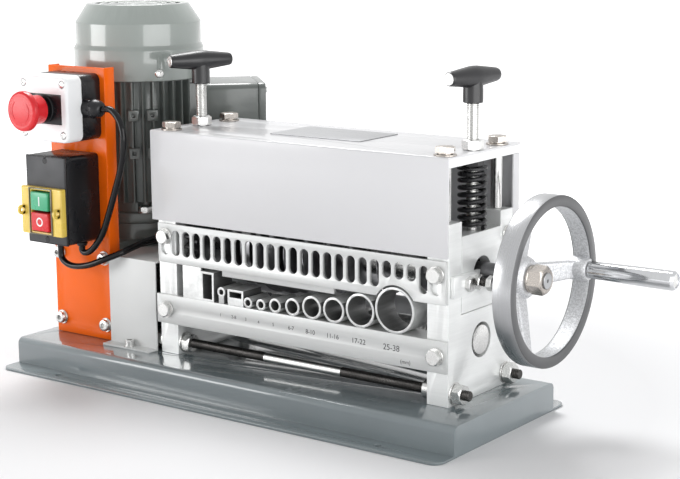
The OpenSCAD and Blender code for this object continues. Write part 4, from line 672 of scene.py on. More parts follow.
class AddPlates(PieceOperator):
    """Dresses the milled plates, blocks, guides and gears"""

    bl_idname = "stripper.add_plates"
    bl_label = "Milled plates"

    def build(self):
        edge = settings("stripper_sizes").edge
        for node, name, metal, slot, body, width in (
            ("left_end_plate", "left_plate", "Milled plate", "milled_plate", "machine", edge),
            ("right_end_plate", "right_plate", "Milled plate", "milled_plate", "machine", edge),
            ("top_plate", "top_bar", "Milled plate", "milled_plate", "machine", edge),
            ("guard_plate", "slotted_guard", "Slotted plate", "milled_plate", "machine", edge * 0.7),
            ("guide_bar", "guide_rail", "Slotted plate", "milled_plate", "machine", edge * 0.7),
            ("guide_tubes", "cable_guides", "Guide metal", "guide_metal", "machine", edge * 0.5),
            ("bearing_blocks", "sliding_blocks", "Milled plate", "milled_plate", "carriage", edge),
            ("cutter_discs", "cutters", "Blade steel painted shade", "blade_steel", "blade_rotor", 0.0),
            ("upper_gear", "large_gear", "Dark steel", "zinc_steel", "blade_rotor", edge * 0.5),
            ("lower_gear", "small_gear", "Dark steel", "zinc_steel", "roller_rotor", edge * 0.5),
            ("feed_roller", "grooved_roller", "Plated steel", "dark_steel", "roller_rotor", edge * 0.5),
        ):
            dressed(node, name, metal, body, width)
        dressed("nameplate_blank", "bare_label", "Bare label", "machine", edge * 0.3)
        self.paint_bore_shade(bpy.data.objects["cable_guides"])
        rods = [turned([(5.4, 207), (6, 207.6), (6, 259.4), (5.4, 260)], at(x, y, 0), 48)
                for x in PLATE_XS for y in ARM_YS]
        complete(joined("frame_pillars", rods), "frame_pillars", "Bright rod", "machine",
                ("pillars",))
        self.add_keepers()

    def paint_bore_shade(self, tubes):
        """Faces that look at another face of the tubes close by, the bores and the gaps between them, get a
        dark copy of the guide metal as painted shade.
        """
        mesh = tubes.data
        mesh.materials.append(finish("Guide bore painted shade"))
        tree = BVHTree.FromPolygons([v.co for v in mesh.vertices], [tuple(f.vertices) for f in mesh.polygons])
        for face in mesh.polygons:
            start = face.center + face.normal * 0.05 * MM
            if abs(face.normal.y) < 0.3 and tree.ray_cast(start, face.normal, 50 * MM)[0] is not None:
                face.material_index = 1

    def add_keepers(self):
        """A plate under the shaft at either end, with a bolt, a stud and its nut."""
        plates, parts, studs = [], [], []
        for side, axis in ((1, "x"), (-1, "-x")):
            spot = lambda x: MIDDLE_X + side * (x - MIDDLE_X)
            xs = sorted((spot(250.3), spot(254.3)))
            plate = block((xs[0], -42, 136), (xs[1], 4.6, 157), 0.5)
            plates.append(cut(plate, turned([(10.8, -30), (10.8, 30)], at(spot(252), SHAFT_Y, UPPER_Z,
                    axis), 48)))
            for x, y, height in ((254.3, -17, 5.2), (254.3, -3, 6.6), (268.3, -3, 5.2)):
                parts.append(settle(hexagon(12.8, height, crown=False), at(spot(x), y, 146.5, axis, 18)))
            studs.append(thread(4, 6.4, 14.2, at(spot(254.3), -3, 146.5, axis)))
        complete(joined("block_keepers", plates), "block_keepers", "Milled plate", "carriage",
                 ("retaining_plates",))
        complete(joined("keeper_bolts", parts), "keeper_bolts", "Plated steel", "carriage",
                (), 20)
        complete(joined("keeper_studs", studs), "keeper_studs", "Dark thread", "carriage")


class AddDrive(PieceOperator):
    """Dresses the gearbox and the motor with its terminal box"""

    bl_idname = "stripper.add_drive"
    bl_label = "Drive"

    def build(self):
        edge = settings("stripper_sizes").edge
        for node, name, width, segments in (
            ("gearbox_housing", "gearbox_casting", edge * 3, 3),
            ("gearbox_cover", "gearbox_lid", edge, 2),
            ("motor_flange", "motor_shield", edge * 2, 3),
            ("motor_frame", "finned_frame", edge, 2),
            ("terminal_box", "terminal_casting", edge * 1.6, 3),
            ("terminal_lid", "terminal_cap", edge * 4, 4),
        ):
            dressed(node, name, "Motor enamel", "machine", width, segments)
        dressed("fan_cowl", "cowl_pressing", "Cowl enamel", "machine", edge, 2, 25.0)


class AddControlBoxes(PieceOperator):
    """Dresses the emergency stop box and the switch box"""

    bl_idname = "stripper.add_control_boxes"
    bl_label = "Control boxes"

    def build(self):
        edge = settings("stripper_sizes").plastic_edge
        dressed("estop_housing", "stop_box", "Black plastic", "machine", edge * 0.6)
        dressed("switch_body", "switch_box", "Black plastic", "machine", edge * 0.5)
        self.add_switch_front(edge / MM)
        self.add_stop_cover()

    def add_switch_front(self, edge):
        """A grey plate in a black rim, and the yellow frame with its two padlock lugs."""
        low, high = (Vector(corner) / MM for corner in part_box("switch_plate"))
        start, stop = (Vector(corner) / MM for corner in (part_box("start_button")[1],
                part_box("stop_button")[0]))
        rim = block((low.x, low.y + 0.4, low.z), (high.x, high.y, high.z), edge, 3)
        plate = block((low.x + 1.5, low.y, low.z + 1.5), (high.x - 1.5, low.y + 1.5, high.z - 1.5), 0.5)
        for item in (rim, plate):
            window = block((stop.x - 0.5, low.y - 5, stop.z - 0.5), (start.x + 0.5, high.y + 5,
                    start.z + 0.5))
            cut(item, window)
        complete(rim, "switch_rim", "Black plastic", "machine", ("switch_plate",))
        complete(plate, "switch_front", "Grey plastic", "machine")
        middle = (low.x + high.x) / 2
        holes = []
        for z in (147.5, 233.5):
            holes.append(turned([(3.4, 0), (3.4, 0.12), (2.6, 0.12), (2.6, 0)], at(middle, low.y, z,
                    "-y"), 32,
                                closed=True))
            holes.append(turned([(2.7, -0.6), (2.7, 0.06)], at(middle, low.y, z, "-y"), 32))
            holes.append(block((middle - 1.2, low.y - 0.12, z), (middle + 1.2, low.y + 0.5, z + 5)))
        complete(joined("plate_holes", holes), "plate_holes", "Black plastic", "machine")
        low, high = (Vector(corner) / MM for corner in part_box("switch_bezel"))
        front = high.y - 8
        shell = block((low.x, front, low.z), (high.x, high.y, high.z), 1.6, 4)
        window = block((stop.x - 1.6, low.y - 5, stop.z - 1.6), (start.x + 1.6, high.y + 5,
                start.z + 1.6), 1.0)
        shell = cut(shell, window)
        soften(shell, 0.5 * MM, 2, 50)
        parts = [shell]
        for side in (-1, 1):
            x = middle + side * ((high.x - low.x) / 2 - 4)
            lug = turned([(2.5, -1.6), (5.1, -1.6), (5.5, -1.2), (5.5, 1.2), (5.1, 1.6), (2.5, 1.6)],
                         at(x, front - 3, (low.z + high.z) / 2, "x"), 40, closed=True)
            web = block((x - 1.6, front - 3.5, (low.z + high.z) / 2 - 5.2), (x + 1.6, front + 0.6,
                    (low.z + high.z) / 2 + 5.2),
                        0.3)
            parts += [lug, cut(web, turned([(2.6, -4), (2.6, 4)], at(x, front - 3, (low.z + high.z) / 2,
                    "x"), 32))]
        complete(joined("key_frame", parts), "key_frame", "Yellow plastic", "machine",
                 ("switch_bezel",))
        lip = block((stop.x - 4.2, front - 1.6, stop.z - 4.2), (start.x + 4.2, front + 0.4,
                start.z + 4.2), 0.6)
        lip = cut(lip, block((stop.x - 3.0, front - 5, stop.z - 3.0), (start.x + 3.0, front + 5,
                start.z + 3.0), 0.6))
        complete(lip, "key_lip", "Smoked plastic", "machine")

    def add_stop_cover(self):
        low, high = (Vector(corner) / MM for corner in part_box("estop_cover"))
        front = low.y
        centre = (low + high) / 2
        shell = block((low.x, front, low.z), (high.x, high.y, high.z))
        edge_ring(shell, 8.0, 3.6)
        shell = cut(shell, block((low.x + 2.5, front + 4, low.z + 2.5), (high.x - 2.5, high.y + 2,
                high.z - 2.5),
                                 4.0, 3))
        shell = cut(shell, block((centre.x - 27.5, front - 1, centre.z - 16.2),
                                 (centre.x + 27.5, front + 1.6, centre.z + 16.2)))
        for sx in (-1, 1):
            for sz in (-1, 1):
                pocket = turned([(4.4, -3), (4.4, 1.5)], at(centre.x + 29 * sx, front,
                        centre.z + 27 * sz, "y"), 32)
                shell = cut(shell, pocket)
        complete(shell, "stop_cover", "White plastic", "machine", ("estop_cover",))
        plate = block((centre.x - 27.3, front + 0.9, centre.z - 16.0), (centre.x + 27.3, front + 3.0,
                centre.z + 16.0),
                      0.3)
        plate = cut(plate, turned([(11.3, -8), (11.3, 8)], at(centre.x, front + 2, centre.z, "y")))
        collar = turned([(11.3, 0), (15.5, 0), (15.5, 1.6), (14.9, 2.2), (11.3, 2.2)],
                        at(centre.x, front + 1.0, centre.z, "-y"), closed=True)
        complete(joined("stop_collar", [plate, collar]), "stop_collar", "Black plastic",
                "machine")


def edge_ring(item, upright, front):
    """Rounds a box's four edges along Y, then the rim of its face towards -Y."""
    for reach, test in ((upright, lambda a, b: abs(a.x - b.x) < 1e-6 and abs(a.z - b.z) < 1e-6),
                        (front, None)):
        choose(item)
        bpy.ops.object.mode_set(mode="EDIT")
        bpy.ops.mesh.select_all(action="DESELECT")
        bpy.ops.mesh.select_mode(type="EDGE")
        leave()
        places = item.data.vertices
        near = min(v.co.y for v in places)
        for line in item.data.edges:
            a, b = (places[i].co for i in line.vertices)
            line.select = test(a, b) if test else (abs(a.y - near) < 1e-6 and abs(b.y - near) < 1e-6)
        bpy.ops.object.mode_set(mode="EDIT")
        bpy.ops.mesh.bevel(offset=reach * MM, segments=6, affect="EDGES", clamp_overlap=False)
        leave()


# ---------------------------------------------------------------- fasteners
class AddFasteners(PieceOperator):
    """Adds the hexagon bolts, nuts, washers and small screws"""

    bl_idname = "stripper.add_fasteners"
    bl_label = "Fasteners"

    def build(self):
        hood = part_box("hood")[1].z / MM
        stack = bolt_stack(8, 17.5, 5.6, ((22.0, 1.6), (15.5, 1.6)))
        heads = [copied(stack, at(x, y, hood, "z", 12 * i)) for i, (x, y) in
                 enumerate((x, y) for x in PLATE_XS for y in ARM_YS)]
        complete(joined("hood_bolts", heads), "hood_bolts", "Warm nickel", "machine")
        discard(stack)
        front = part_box("guard_plate")[0].y / MM
        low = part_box("guide_bar")[0].z / MM
        guard_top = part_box("guard_plate")[1].z / MM
        spots = [(x, z) for x in PLATE_XS for z in ((low + 95) / 2, guard_top - 13.5)]
        panel = bolt_stack(8, 14.2, 5.6, ((17.8, 1.6),))
        heads = [copied(panel, at(x, front, z, "-y", 17 * i)) for i, (x, z) in enumerate(spots)]
        discard(panel)
        stack = bolt_stack(8, 12.8, 5.2, ((16, 1.6),))
        places = [at(PLATE_OUTS[1], ARM_YS[1], 183, "x", 10), at(PLATE_OUTS[0], ARM_YS[1], 183, "-x", 10)]
        places += [at(x, 74, 80, "y", 20) for x in PLATE_XS]
        places += [at(x, y, 27.5, "-z") for x in PLATE_XS for y in (-10.2, 36.2)]
        places += [at(x, y, 27.5, "-z") for x in (DRIVE_X - 19.75, DRIVE_X + 19.75) for y in (-14.8, 60.8)]
        heads += [copied(stack, place) for place in places]
        discard(stack)
        shanks = [turned([(4, 0), (4, 14)], at(x, front + 3, z, "y"), 24) for x, z in spots]
        complete(joined("panel_bolt_heads", heads + shanks), "panel_bolt_heads", "Plated steel",
                 "machine", ("hex_bolts",), 20)
        self.add_nuts(hood)
        self.add_screws()

    def add_nuts(self, hood):
        nut = hexagon(18.5, 10, 10.1)
        ring = washer(22, 10.6, 1.6)
        left, right = PLATE_OUTS
        parts, seats = [], []
        for y in ARM_YS:
            for x, axis in ((right, "x"), (left, "-x"), (-91.0, "x")):
                parts.append(copied(ring, at(x, y, ROD_Z, axis)))
                away = 1.6 if axis == "x" else -1.6
                parts.append(copied(nut, at(x + away, y, ROD_Z, axis, 11 + y)))
        for x in PLATE_XS:
            top = hexagon(18.5, 10, 12.1)
            parts.append(settle(top, at(x, SHAFT_Y, hood, "z", 8 if x > 0 else 20)))
            thin = hexagon(18.5, 6, 12.1)
            seats.append(settle(thin, at(x, SHAFT_Y, 254)))
            seats.append(settle(washer(30, 12.7, 2.5), at(x, SHAFT_Y, SEAT_Z)))
        discard(nut)
        discard(ring)
        complete(joined("frame_nuts", parts), "frame_nuts", "Plated steel", "machine",
                ("hex_nuts",),
                 20)
        # The seat nut and washer take the springs' black finish as painted shade for the dark gap under the
        # top plate.
        complete(joined("spring_seats", seats), "spring_seats", "Blackened steel", "machine")

    def add_screws(self):
        """Socket bolts on the column and cross headed screws elsewhere."""
        socket = turned([(6.6, 0), (6.8, 2.2), (5.9, 4.6), (4.6, 5.2)], sides=40)
        clear()
        bpy.ops.mesh.primitive_cylinder_add(vertices=6, radius=3.1 * MM, depth=6 * MM, location=(0, 0,
                5.6 * MM))
        socket = cut(socket, settle(bpy.context.object))
        ring = washer(16, 8.4, 1.4)
        parts = []
        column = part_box("control_column")[0].y / MM
        for side in (-1, 1):
            for height in (17, 92):
                spot = (DRIVE_X + side * 34, column, 30 + height)
                parts.append(copied(ring, at(*spot, "-y")))
                parts.append(copied(socket, at(spot[0], spot[1] - 1.4, spot[2], "-y", 15 * side)))
        discard(socket)
        discard(ring)
        cross = turned([(3.9, 0), (4.0, 0.5), (3.3, 1.8), (2.0, 2.3)], sides=32)
        for turn in (0, 90):
            cross = cut(cross, block((-2.4, -0.45, 1.2), (2.4, 0.45, 4), matrix=at(0, 0, 0, "z", turn)))
        cover_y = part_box("estop_cover")[0].y / MM + 1.4
        for i, (sx, sz) in enumerate(((-1, -1), (-1, 1), (1, -1), (1, 1))):
            parts.append(copied(cross, at(DRIVE_X + 29 * sx, cover_y, STOP_Z + 27 * sz, "-y", 20 + 31 * i)))
        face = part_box("gearbox_cover")[1].x / MM
        for k in range(4):
            angle = math.radians(90 * k + 45)
            parts.append(copied(cross, at(face, SHAFT_Y - 32 * math.sin(angle),
                    LOWER_Z + 32 * math.cos(angle), "x")))
        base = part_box("fan_cowl")[0].z / MM
        for k in range(4):
            angle = math.radians(90 * k + 60)
            place = Matrix.Rotation(angle, 4, "Z") @ Matrix.Translation((72.9 * MM, 0, 0)) @ AXIS_TURNS["x"]
            place = Matrix.Translation(Vector((DRIVE_X, MOTOR_Y, base + 8)) * MM) @ place
            parts.append(copied(cross, place @ Matrix.Scale(1.25, 4)))
        for sy in (-1, 1):
            for sz in (-1, 1):
                place = (Matrix.Translation(Vector((DRIVE_X, MOTOR_Y, 259)) * MM)
                         @ Matrix.Rotation(math.radians(45), 4, "Z")
                         @ Matrix.Translation(Vector((139, 38 * sy, 39 * sz)) * MM) @ AXIS_TURNS["x"])
                parts.append(copied(cross, place))
        discard(cross)
        stack = bolt_stack(8, 12.8, 5.2, ((16, 1.6),))
        for k in range(4):
            angle = math.radians(90 * k + 45)
            parts.append(copied(stack, at(DRIVE_X + 62 * math.cos(angle), MOTOR_Y + 62 * math.sin(angle),
                    166)))
        discard(stack)
        foot = turned([(5.0, 1.2), (5.1, 6.2), (4.5, 7.0), (2.6, 7.0), (2.6, 4.0)], sides=32)
        rings = washer(12, 5, 1.2)
        for y in (-54.0, 83.0):
            parts += [copied(foot, at(-154, y, 32)), copied(rings, at(-154, y, 32))]
        discard(foot)
        discard(rings)
        complete(joined("box_screws", parts), "box_screws", "Plated steel", "machine",
                ("screws",), 25)


class AddTieRods(PieceOperator):
    """Adds the two tie rods, threaded towards both ends"""

    bl_idname = "stripper.add_tie_rods"
    bl_label = "Tie rods"

    def build(self):
        dark, bright = [], []
        for y in ARM_YS:
            place = at(0, y, ROD_Z, "x")
            dark.append(thread(5, -133, 20, place))
            dark.append(thread(5, 118, 268, place))
            bright.append(turned([(5, 20), (5, 118)], place, 32))
            bright.append(turned([(4.6, 218), (9.2, 218), (10, 218.8), (10, 226), (4.6, 226)], place, 32,
                    closed=True))
        complete(joined("rod_threads", dark), "rod_threads", "Dark thread", "machine",
                 ("tie_rods",))
        complete(joined("rod_middles", bright), "rod_middles", "Bright rod", "machine")


class AddPressScrews(PieceOperator):
    """Adds the threaded press screws, their T grips and the springs"""

    bl_idname = "stripper.add_press_screws"
    bl_label = "Press screws"

    def build(self):
        for side, x, turn in (("left", PLATE_XS[0], 25.0), ("right", PLATE_XS[1], 8.0)):
            body = side + "_press"
            place = at(x, SHAFT_Y, 0)
            parts = [thread(6, 195, 334, place), turned([(5, 177.5), (5, 195.2)], place, 24)]
            complete(joined(side + "_screw", parts), side + "_screw", "Plated steel", body,
                     (side + "_press_screw",))
            self.add_grip(side, x, turn, body)
            self.add_spring(side, x)

    def add_grip(self, side, x, turn, body):
        """A tapered bar with a plugged end on a round neck."""
        place = at(x, SHAFT_Y, 339.5) @ Matrix.Rotation(math.radians(-turn), 4, "Z")
        bar = turned(
            [(6.2, -35.3), (6.75, -34.6), (7.0, -33), (10.3, -5), (10.5, 0), (10.3, 5),
             (7.0, 31), (6.7, 33.2), (6.0, 34.9), (4.6, 35.8), (2.0, 36)],
            place @ AXIS_TURNS["y"], 40,
        )
        neck = turned([(9.2, -24.5), (9.75, -23.9), (9.75, -12), (9.4, -6), (8.5, 0)], place, 40)
        grip = joined("grip", [bar, neck])
        complete(grip, side + "_t_grip", "Black grip", body, (side + "_grip",))
        plug = turned([(5.75, -0.4), (5.75, 0.3), (5.3, 0.6), (3.0, 0.6), (2.7, 0.2), (0.6, 0.2)],
                      place @ at(0, -35.3, 0, "-y"), 40)
        complete(plug, side + "_grip_plug", "Plated steel", body)

    def add_spring(self, side, x):
        """A closed coil between the block and the seat under the top plate."""
        low, high = (corner.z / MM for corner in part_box(side + "_spring"))
        wire, radius, turns, ends = 4.5, 12.25, 8, 4.5 * 1.14
        length = high - low - wire
        middle = (length - 2 * ends) / (turns - 2)
        points = []
        steps = 24
        for i in range(turns * steps + 1):
            t = i / steps
            if t < 1:
                z = ends * t
            elif t < turns - 1:
                z = ends + middle * (t - 1)
            else:
                z = length - ends * (turns - t)
            angle = 2 * math.pi * t
            points.append(Vector((x + radius * math.cos(angle), SHAFT_Y + radius * math.sin(angle),
                                  low + wire / 2 + z)) * MM)
        coil = smooth_tube(side + "_coil", points, wire / 2 * MM, sides=10)
        complete(coil, side + "_coil", "Blackened steel", "machine", (side + "_spring",), 60)
        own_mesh(coil)


# ---------------------------------------------------------------- hand wheel
class AddHandWheel(PieceOperator):
    """Adds the hand wheel with its cast spokes, nut and crank grip"""

    bl_idname = "stripper.add_hand_wheel"
    bl_label = "Hand wheel"

    def build(self):
        hub_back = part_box("handwheel")[0].x / MM
        back = 310.0
        rim = turned(
            [(82, 1.1), (82, 18.9), (81.7, 19.6), (81, 20), (72.4, 20), (71.6, 19.6), (71.1, 18.6),
                    (70.9, 15),
             (70.9, 5), (71.1, 1.4), (71.6, 0.4), (72.4, 0), (81, 0), (81.7, 0.4)],
            at(back, SHAFT_Y, UPPER_Z, "x"), 160, closed=True,
        )
        for name in ("Turned iron", "Cast iron", "Faced iron painted shade"):
            rim.data.materials.append(finish(name))
        # Outer band turned iron, inner band cast iron, flat faces the darker copy of the turned iron as
        # painted shade.
        for side in rim.data.polygons:
            centre = side.center / MM
            reach = math.hypot(centre.y - SHAFT_Y, centre.z - UPPER_Z)
            side.material_index = 0 if reach > 81.8 else 1 if reach < 71.3 else 2
        hub = turned([(10.02, 0), (19, 0), (21, 1.5), (22, 5), (21.4, 11), (19.5, 15.5), (17.2, 18.2),
                      (16.2, 19), (10.02, 19)],
                     at(hub_back, SHAFT_Y, UPPER_Z, "x"), 64, closed=True)
        boss = turned([(5.02, 0), (10.6, 0), (11.8, 1.4), (12, 6), (12, 14), (11.2, 18.6), (10.2, 20),
                (5.02, 20)],
                      at(back, CRANK_Y, UPPER_Z, "x"), 48, closed=True)
        spokes = [self.spoke(angle, hub_back) for angle in (-90, 30, 150)]
        cast = joined("wheel_casting", [hub, boss] + spokes)
        cast.data.materials.clear()
        cast.data.materials.append(finish("Cast iron"))
        complete(cast, "wheel_casting", None, "blade_rotor")
        complete(rim, "wheel_rim", None, "blade_rotor", ("handwheel",))
        self.add_nut()
        self.add_grip()

    def spoke(self, angle, hub_back):
        """A tapered bar, swept outwards from the hub to the rim."""
        clear()
        bpy.ops.mesh.primitive_cube_add(size=1)
        item = bpy.context.object
        root, tip = Vector((hub_back + 9.5, 0, 17)), Vector((319.5, 0, 72.5))
        places = {-1: (root, 22.0, 10.5), 1: (tip, 16.0, 9.5)}
        for corner in item.data.vertices:
            centre, wide, thick = places[1 if corner.co.z > 0 else -1]
            side = 1 if corner.co.y > 0 else -1
            front = 1 if corner.co.x > 0 else -1
            corner.co = (centre + Vector((front * thick / 2, side * wide / 2, 0))) * MM
        edit()
        bpy.ops.mesh.subdivide(number_cuts=3)
        leave()
        soften(item, 2.4 * MM, 4)
        return settle(item, Matrix.Translation(Vector((0, SHAFT_Y, UPPER_Z)) * MM)
                      @ Matrix.Rotation(math.radians(angle), 4, "X"))

    def add_nut(self):
        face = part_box("wheel_nut")[0].x / MM
        ring = washer(27, 16.2, 3.0)
        settle(ring, at(face, SHAFT_Y, UPPER_Z, "x"))
        nut = hexagon(25, 14, 16.1, crown=False)
        settle(nut, at(face + 3, SHAFT_Y, UPPER_Z, "x", 14))
        complete(joined("wheel_nut_set", [ring, nut]), "wheel_nut_set", "Warm nickel",
                 "blade_rotor", ("wheel_nut",), 20)
        end = turned([(8.0, -1.4), (8.0, -0.3), (7.4, 0.2), (2.0, 0.2), (0.8, -0.9)],
                     at(face + 18, SHAFT_Y, UPPER_Z, "x"), 48)
        complete(end, "shaft_end_disc", "Turned iron", "blade_rotor")

    def add_grip(self):
        """A chromed grip: fluted towards the wheel, plain and chamfered at its end."""
        low, high = (corner.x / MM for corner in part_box("crank_grip"))
        length = high - low
        shell = [(5.06, 0), (8.1, 0), (8.5, 0.6), (8.7, 8), (8.9, 22), (9.2, 40), (9.4, 60), (9.5,
                length - 5),
                 (9.4, length - 2.6), (8.0, length - 0.6), (7.4, length), (6.6, length), (6.4, length - 0.8),
                 (5.06, length - 1.2)]
        grip = turned(shell, at(low, CRANK_Y, UPPER_Z, "x"), 96, closed=True)
        reach = 44.0
        for corner in grip.data.vertices:
            place = corner.co / MM
            run = place.x - low
            across = Vector((place.y - CRANK_Y, place.z - UPPER_Z))
            if run > reach or across.length < 7.5 or run < 0.1:
                continue
            angle = math.atan2(across.y, across.x)
            fade = min(1.0, (reach - run) / 22.0)
            share = 1 - 0.085 * fade * (0.5 - 0.5 * math.cos(angle * 9))
            corner.co.y = (CRANK_Y + across.x * share) * MM
            corner.co.z = (UPPER_Z + across.y * share) * MM
        complete(grip, "chromed_grip", "Polished chrome", "crank_grip_body", ("crank_grip",))


# ---------------------------------------------------------------- buttons, glands and leads
class AddButtons(PieceOperator):
    """Adds the mushroom button and the two marked keys"""

    bl_idname = "stripper.add_buttons"
    bl_label = "Buttons"

    def build(self):
        low, high = (Vector(corner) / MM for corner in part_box("estop_button"))
        centre = (low + high) / 2
        depth = high.y - low.y
        button = turned(
            [(11.0, 0), (14.9, 0.2), (15.5, 0.9), (15.5, 12.6), (16.0, 14.4), (17.8, 16.2), (20.4, 17.9),
                    (21.3, 19.0),
             (21.5, 20.2), (21.4, 22.2), (20.8, 23.9), (19.5, 25.0), (17.4, 25.6), (16.6, 25.4), (15.8, 25.5),
             (8.0, 25.9), (2.0, depth)],
            at(centre.x, high.y, centre.z, "-y"), 96,
        )
        arrows = [button]
        for start in (-50, 130):
            angles = [math.radians(start + 5 * k) for k in range(19)]
            arc = [Vector((centre.x + 12.5 * math.cos(a), low.y + 0.5, centre.z + 12.5 * math.sin(a))) * MM
                   for a in angles]
            arrows.append(smooth_tube("arc", arc, 0.6 * MM, sides=8))
        button = joined("mushroom", arrows)
        complete(button, "mushroom_cap", "Red plastic", "estop_mushroom", ("estop_button",))
        for node, plastic, slot, body, mark in (
            ("start_button", "Green plastic", "green_plastic", "start_key", "I"),
            ("stop_button", "Red plastic", "red_plastic", "stop_key", "O"),
        ):
            low, high = (Vector(corner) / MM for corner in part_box(node))
            key = block(low, high, 1.1, 3)
            complete(key, node + "_cap", plastic, body, (node,))
            centre = (low + high) / 2
            if mark == "O":
                sign = turned([(3.2, -0.5), (4.9, -0.5), (4.9, 0.15), (3.2, 0.15)],
                              at(centre.x, low.y, centre.z, "-y"), 48, closed=True)
            else:
                sign = block((centre.x - 0.8, low.y - 0.15, centre.z - 5), (centre.x + 0.8, low.y + 0.5,
                        centre.z + 5))
            complete(sign, node + "_mark", "White ink", body)


class AddGlands(PieceOperator):
    """Adds the domed cable glands and the grommets"""

    bl_idname = "stripper.add_glands"
    bl_label = "Glands"

    def build(self):
        profile = [(10.2, 0), (10.6, 0.8), (10.6, 7.0), (9.9, 7.6), (9.9, 9.0), (10.6, 9.8), (10.4, 13.5),
                   (9.2, 17.4), (7.4, 20.2), (5.6, 21.6), (3.6, 22.0)]
        gland = turned(profile, sides=48)
        for corner in gland.data.vertices:
            height = corner.co.z / MM
            if 0.5 < height < 7.2:
                angle = math.atan2(corner.co.y, corner.co.x)
                flat = math.cos(math.radians(30)) / math.cos((angle % math.radians(60)) - math.radians(30))
                corner.co.x *= flat
                corner.co.y *= flat
        stop = copied(gland, at(-197, -62.5, STOP_Z, "x", 30))
        reach = 101 * math.sqrt(0.5)
        under = copied(gland, at(DRIVE_X + reach, MOTOR_Y + reach, 212, "-z", 20))
        discard(gland)
        parts = [stop, under]
        for x in (-210, -243):
            parts.append(turned([(6.0, 0), (5.9, -1.5), (5.2, -3.2), (4.2, -4.0)], at(x, -65, 142.5), 32))
        complete(joined("glands", parts), "glands", "Black plastic", "machine",
                ("cable_glands",))


STOP_ROUTE = (
    (-175, -62.5, 289.5), (-162, -62.5, 289.5), (-150, -62.5, 277.5), (-145.5, -63, 258), (-150.5, -63, 229),
    (-161, -64, 198), (-176, -65, 160), (-188, -65, 143), (-198, -65, 134), (-206, -65, 131.5),
    (-210, -65, 134), (-210, -65, 138.5),
)
MOTOR_ROUTE = (
    (-243, -65, 138.5), (-243, -65, 132), (-242, -65, 122), (-234, -65, 116), (-221, -65, 114.5),
    (-200, -65, 118.5), (-180, -60, 126.5), (-165, -51, 133.5), (-165, -30, 137), (-161, -12, 141),
    (-154, 20, 146), (-148, 60, 155), (-149, 95, 164), (-155, 118, 172), (-160.5, 128, 179),
    (-161.6, 129.9, 185), (-161.6, 129.9, 190),
)


def smooth_line(route, steps=8):
    """Points in metres on the smooth line that the frame's own lead follows."""
    spots = [Vector(p) * MM for p in route]
    points = []
    for i in range(len(spots) - 1):
        a, b, c, d = spots[max(i - 1, 0)], spots[i], spots[i + 1], spots[min(i + 2, len(spots) - 1)]
        for k in range(steps):
            t = k / steps
            points.append(0.5 * (2 * b + (c - a) * t + (2 * a - 5 * b + 4 * c - d) * t * t
                                 + (3 * b - 3 * c + d - a) * t * t * t))
    points.append(spots[-1])
    return points


class AddLeads(PieceOperator):
    """Adds the two leads between the boxes"""

    bl_idname = "stripper.add_leads"
    bl_label = "Leads"

    def build(self):
        sizes = settings("stripper_sizes")
        for name, route, node in (("stop_lead", STOP_ROUTE, "estop_lead"), ("switch_lead", MOTOR_ROUTE,
                "motor_lead")):
            points = smooth_line(route)
            tube = smooth_tube(name, points, sizes.lead / 2, sides=12)
            complete(tube, name, "Lead sheath", "machine", (node,), 60)


class AddMarks(PieceOperator):
    """Adds the plain size figures under the guides"""

    bl_idname = "stripper.add_marks"
    bl_label = "Size figures"

    FIGURES = (
        ("25-38", 186.8, 80.3, 7.0), ("17-22", 147.9, 80.9, 6.2), ("11-16", 116.3, 81.3, 5.6), ("8-10",
                88.6, 81.6, 5.4),
        ("6-7", 64.3, 82.2, 4.8), ("5", 41.4, 82.5, 4.2), ("4", 22.2, 82.4, 4.0), ("3", 5.3, 82.9, 4.0),
        ("2-8", -10.7, 83.0, 4.2), ("1", -28.7, 82.9, 4.0), ("(mm)", 203.1, 68.6, 4.6),
    )

    def build(self):
        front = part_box("guide_bar")[0].y
        marks = []
        for text, x, z, height in self.FIGURES:
            clear()
            bpy.ops.object.text_add(rotation=(math.radians(90), 0, 0))
            item = bpy.context.object
            item.data.body = text
            item.data.align_x, item.data.align_y = "CENTER", "CENTER"
            item.data.size = height * 1.2 * MM
            item.data.extrude = 0.00004
            bpy.ops.object.convert(target="MESH")
            item = bpy.context.object
            item.location = (x * MM, front - 0.00004, z * MM)
            marks.append(settle(item))
        complete(joined("size_figures", marks), "size_figures", "Ink", "machine")


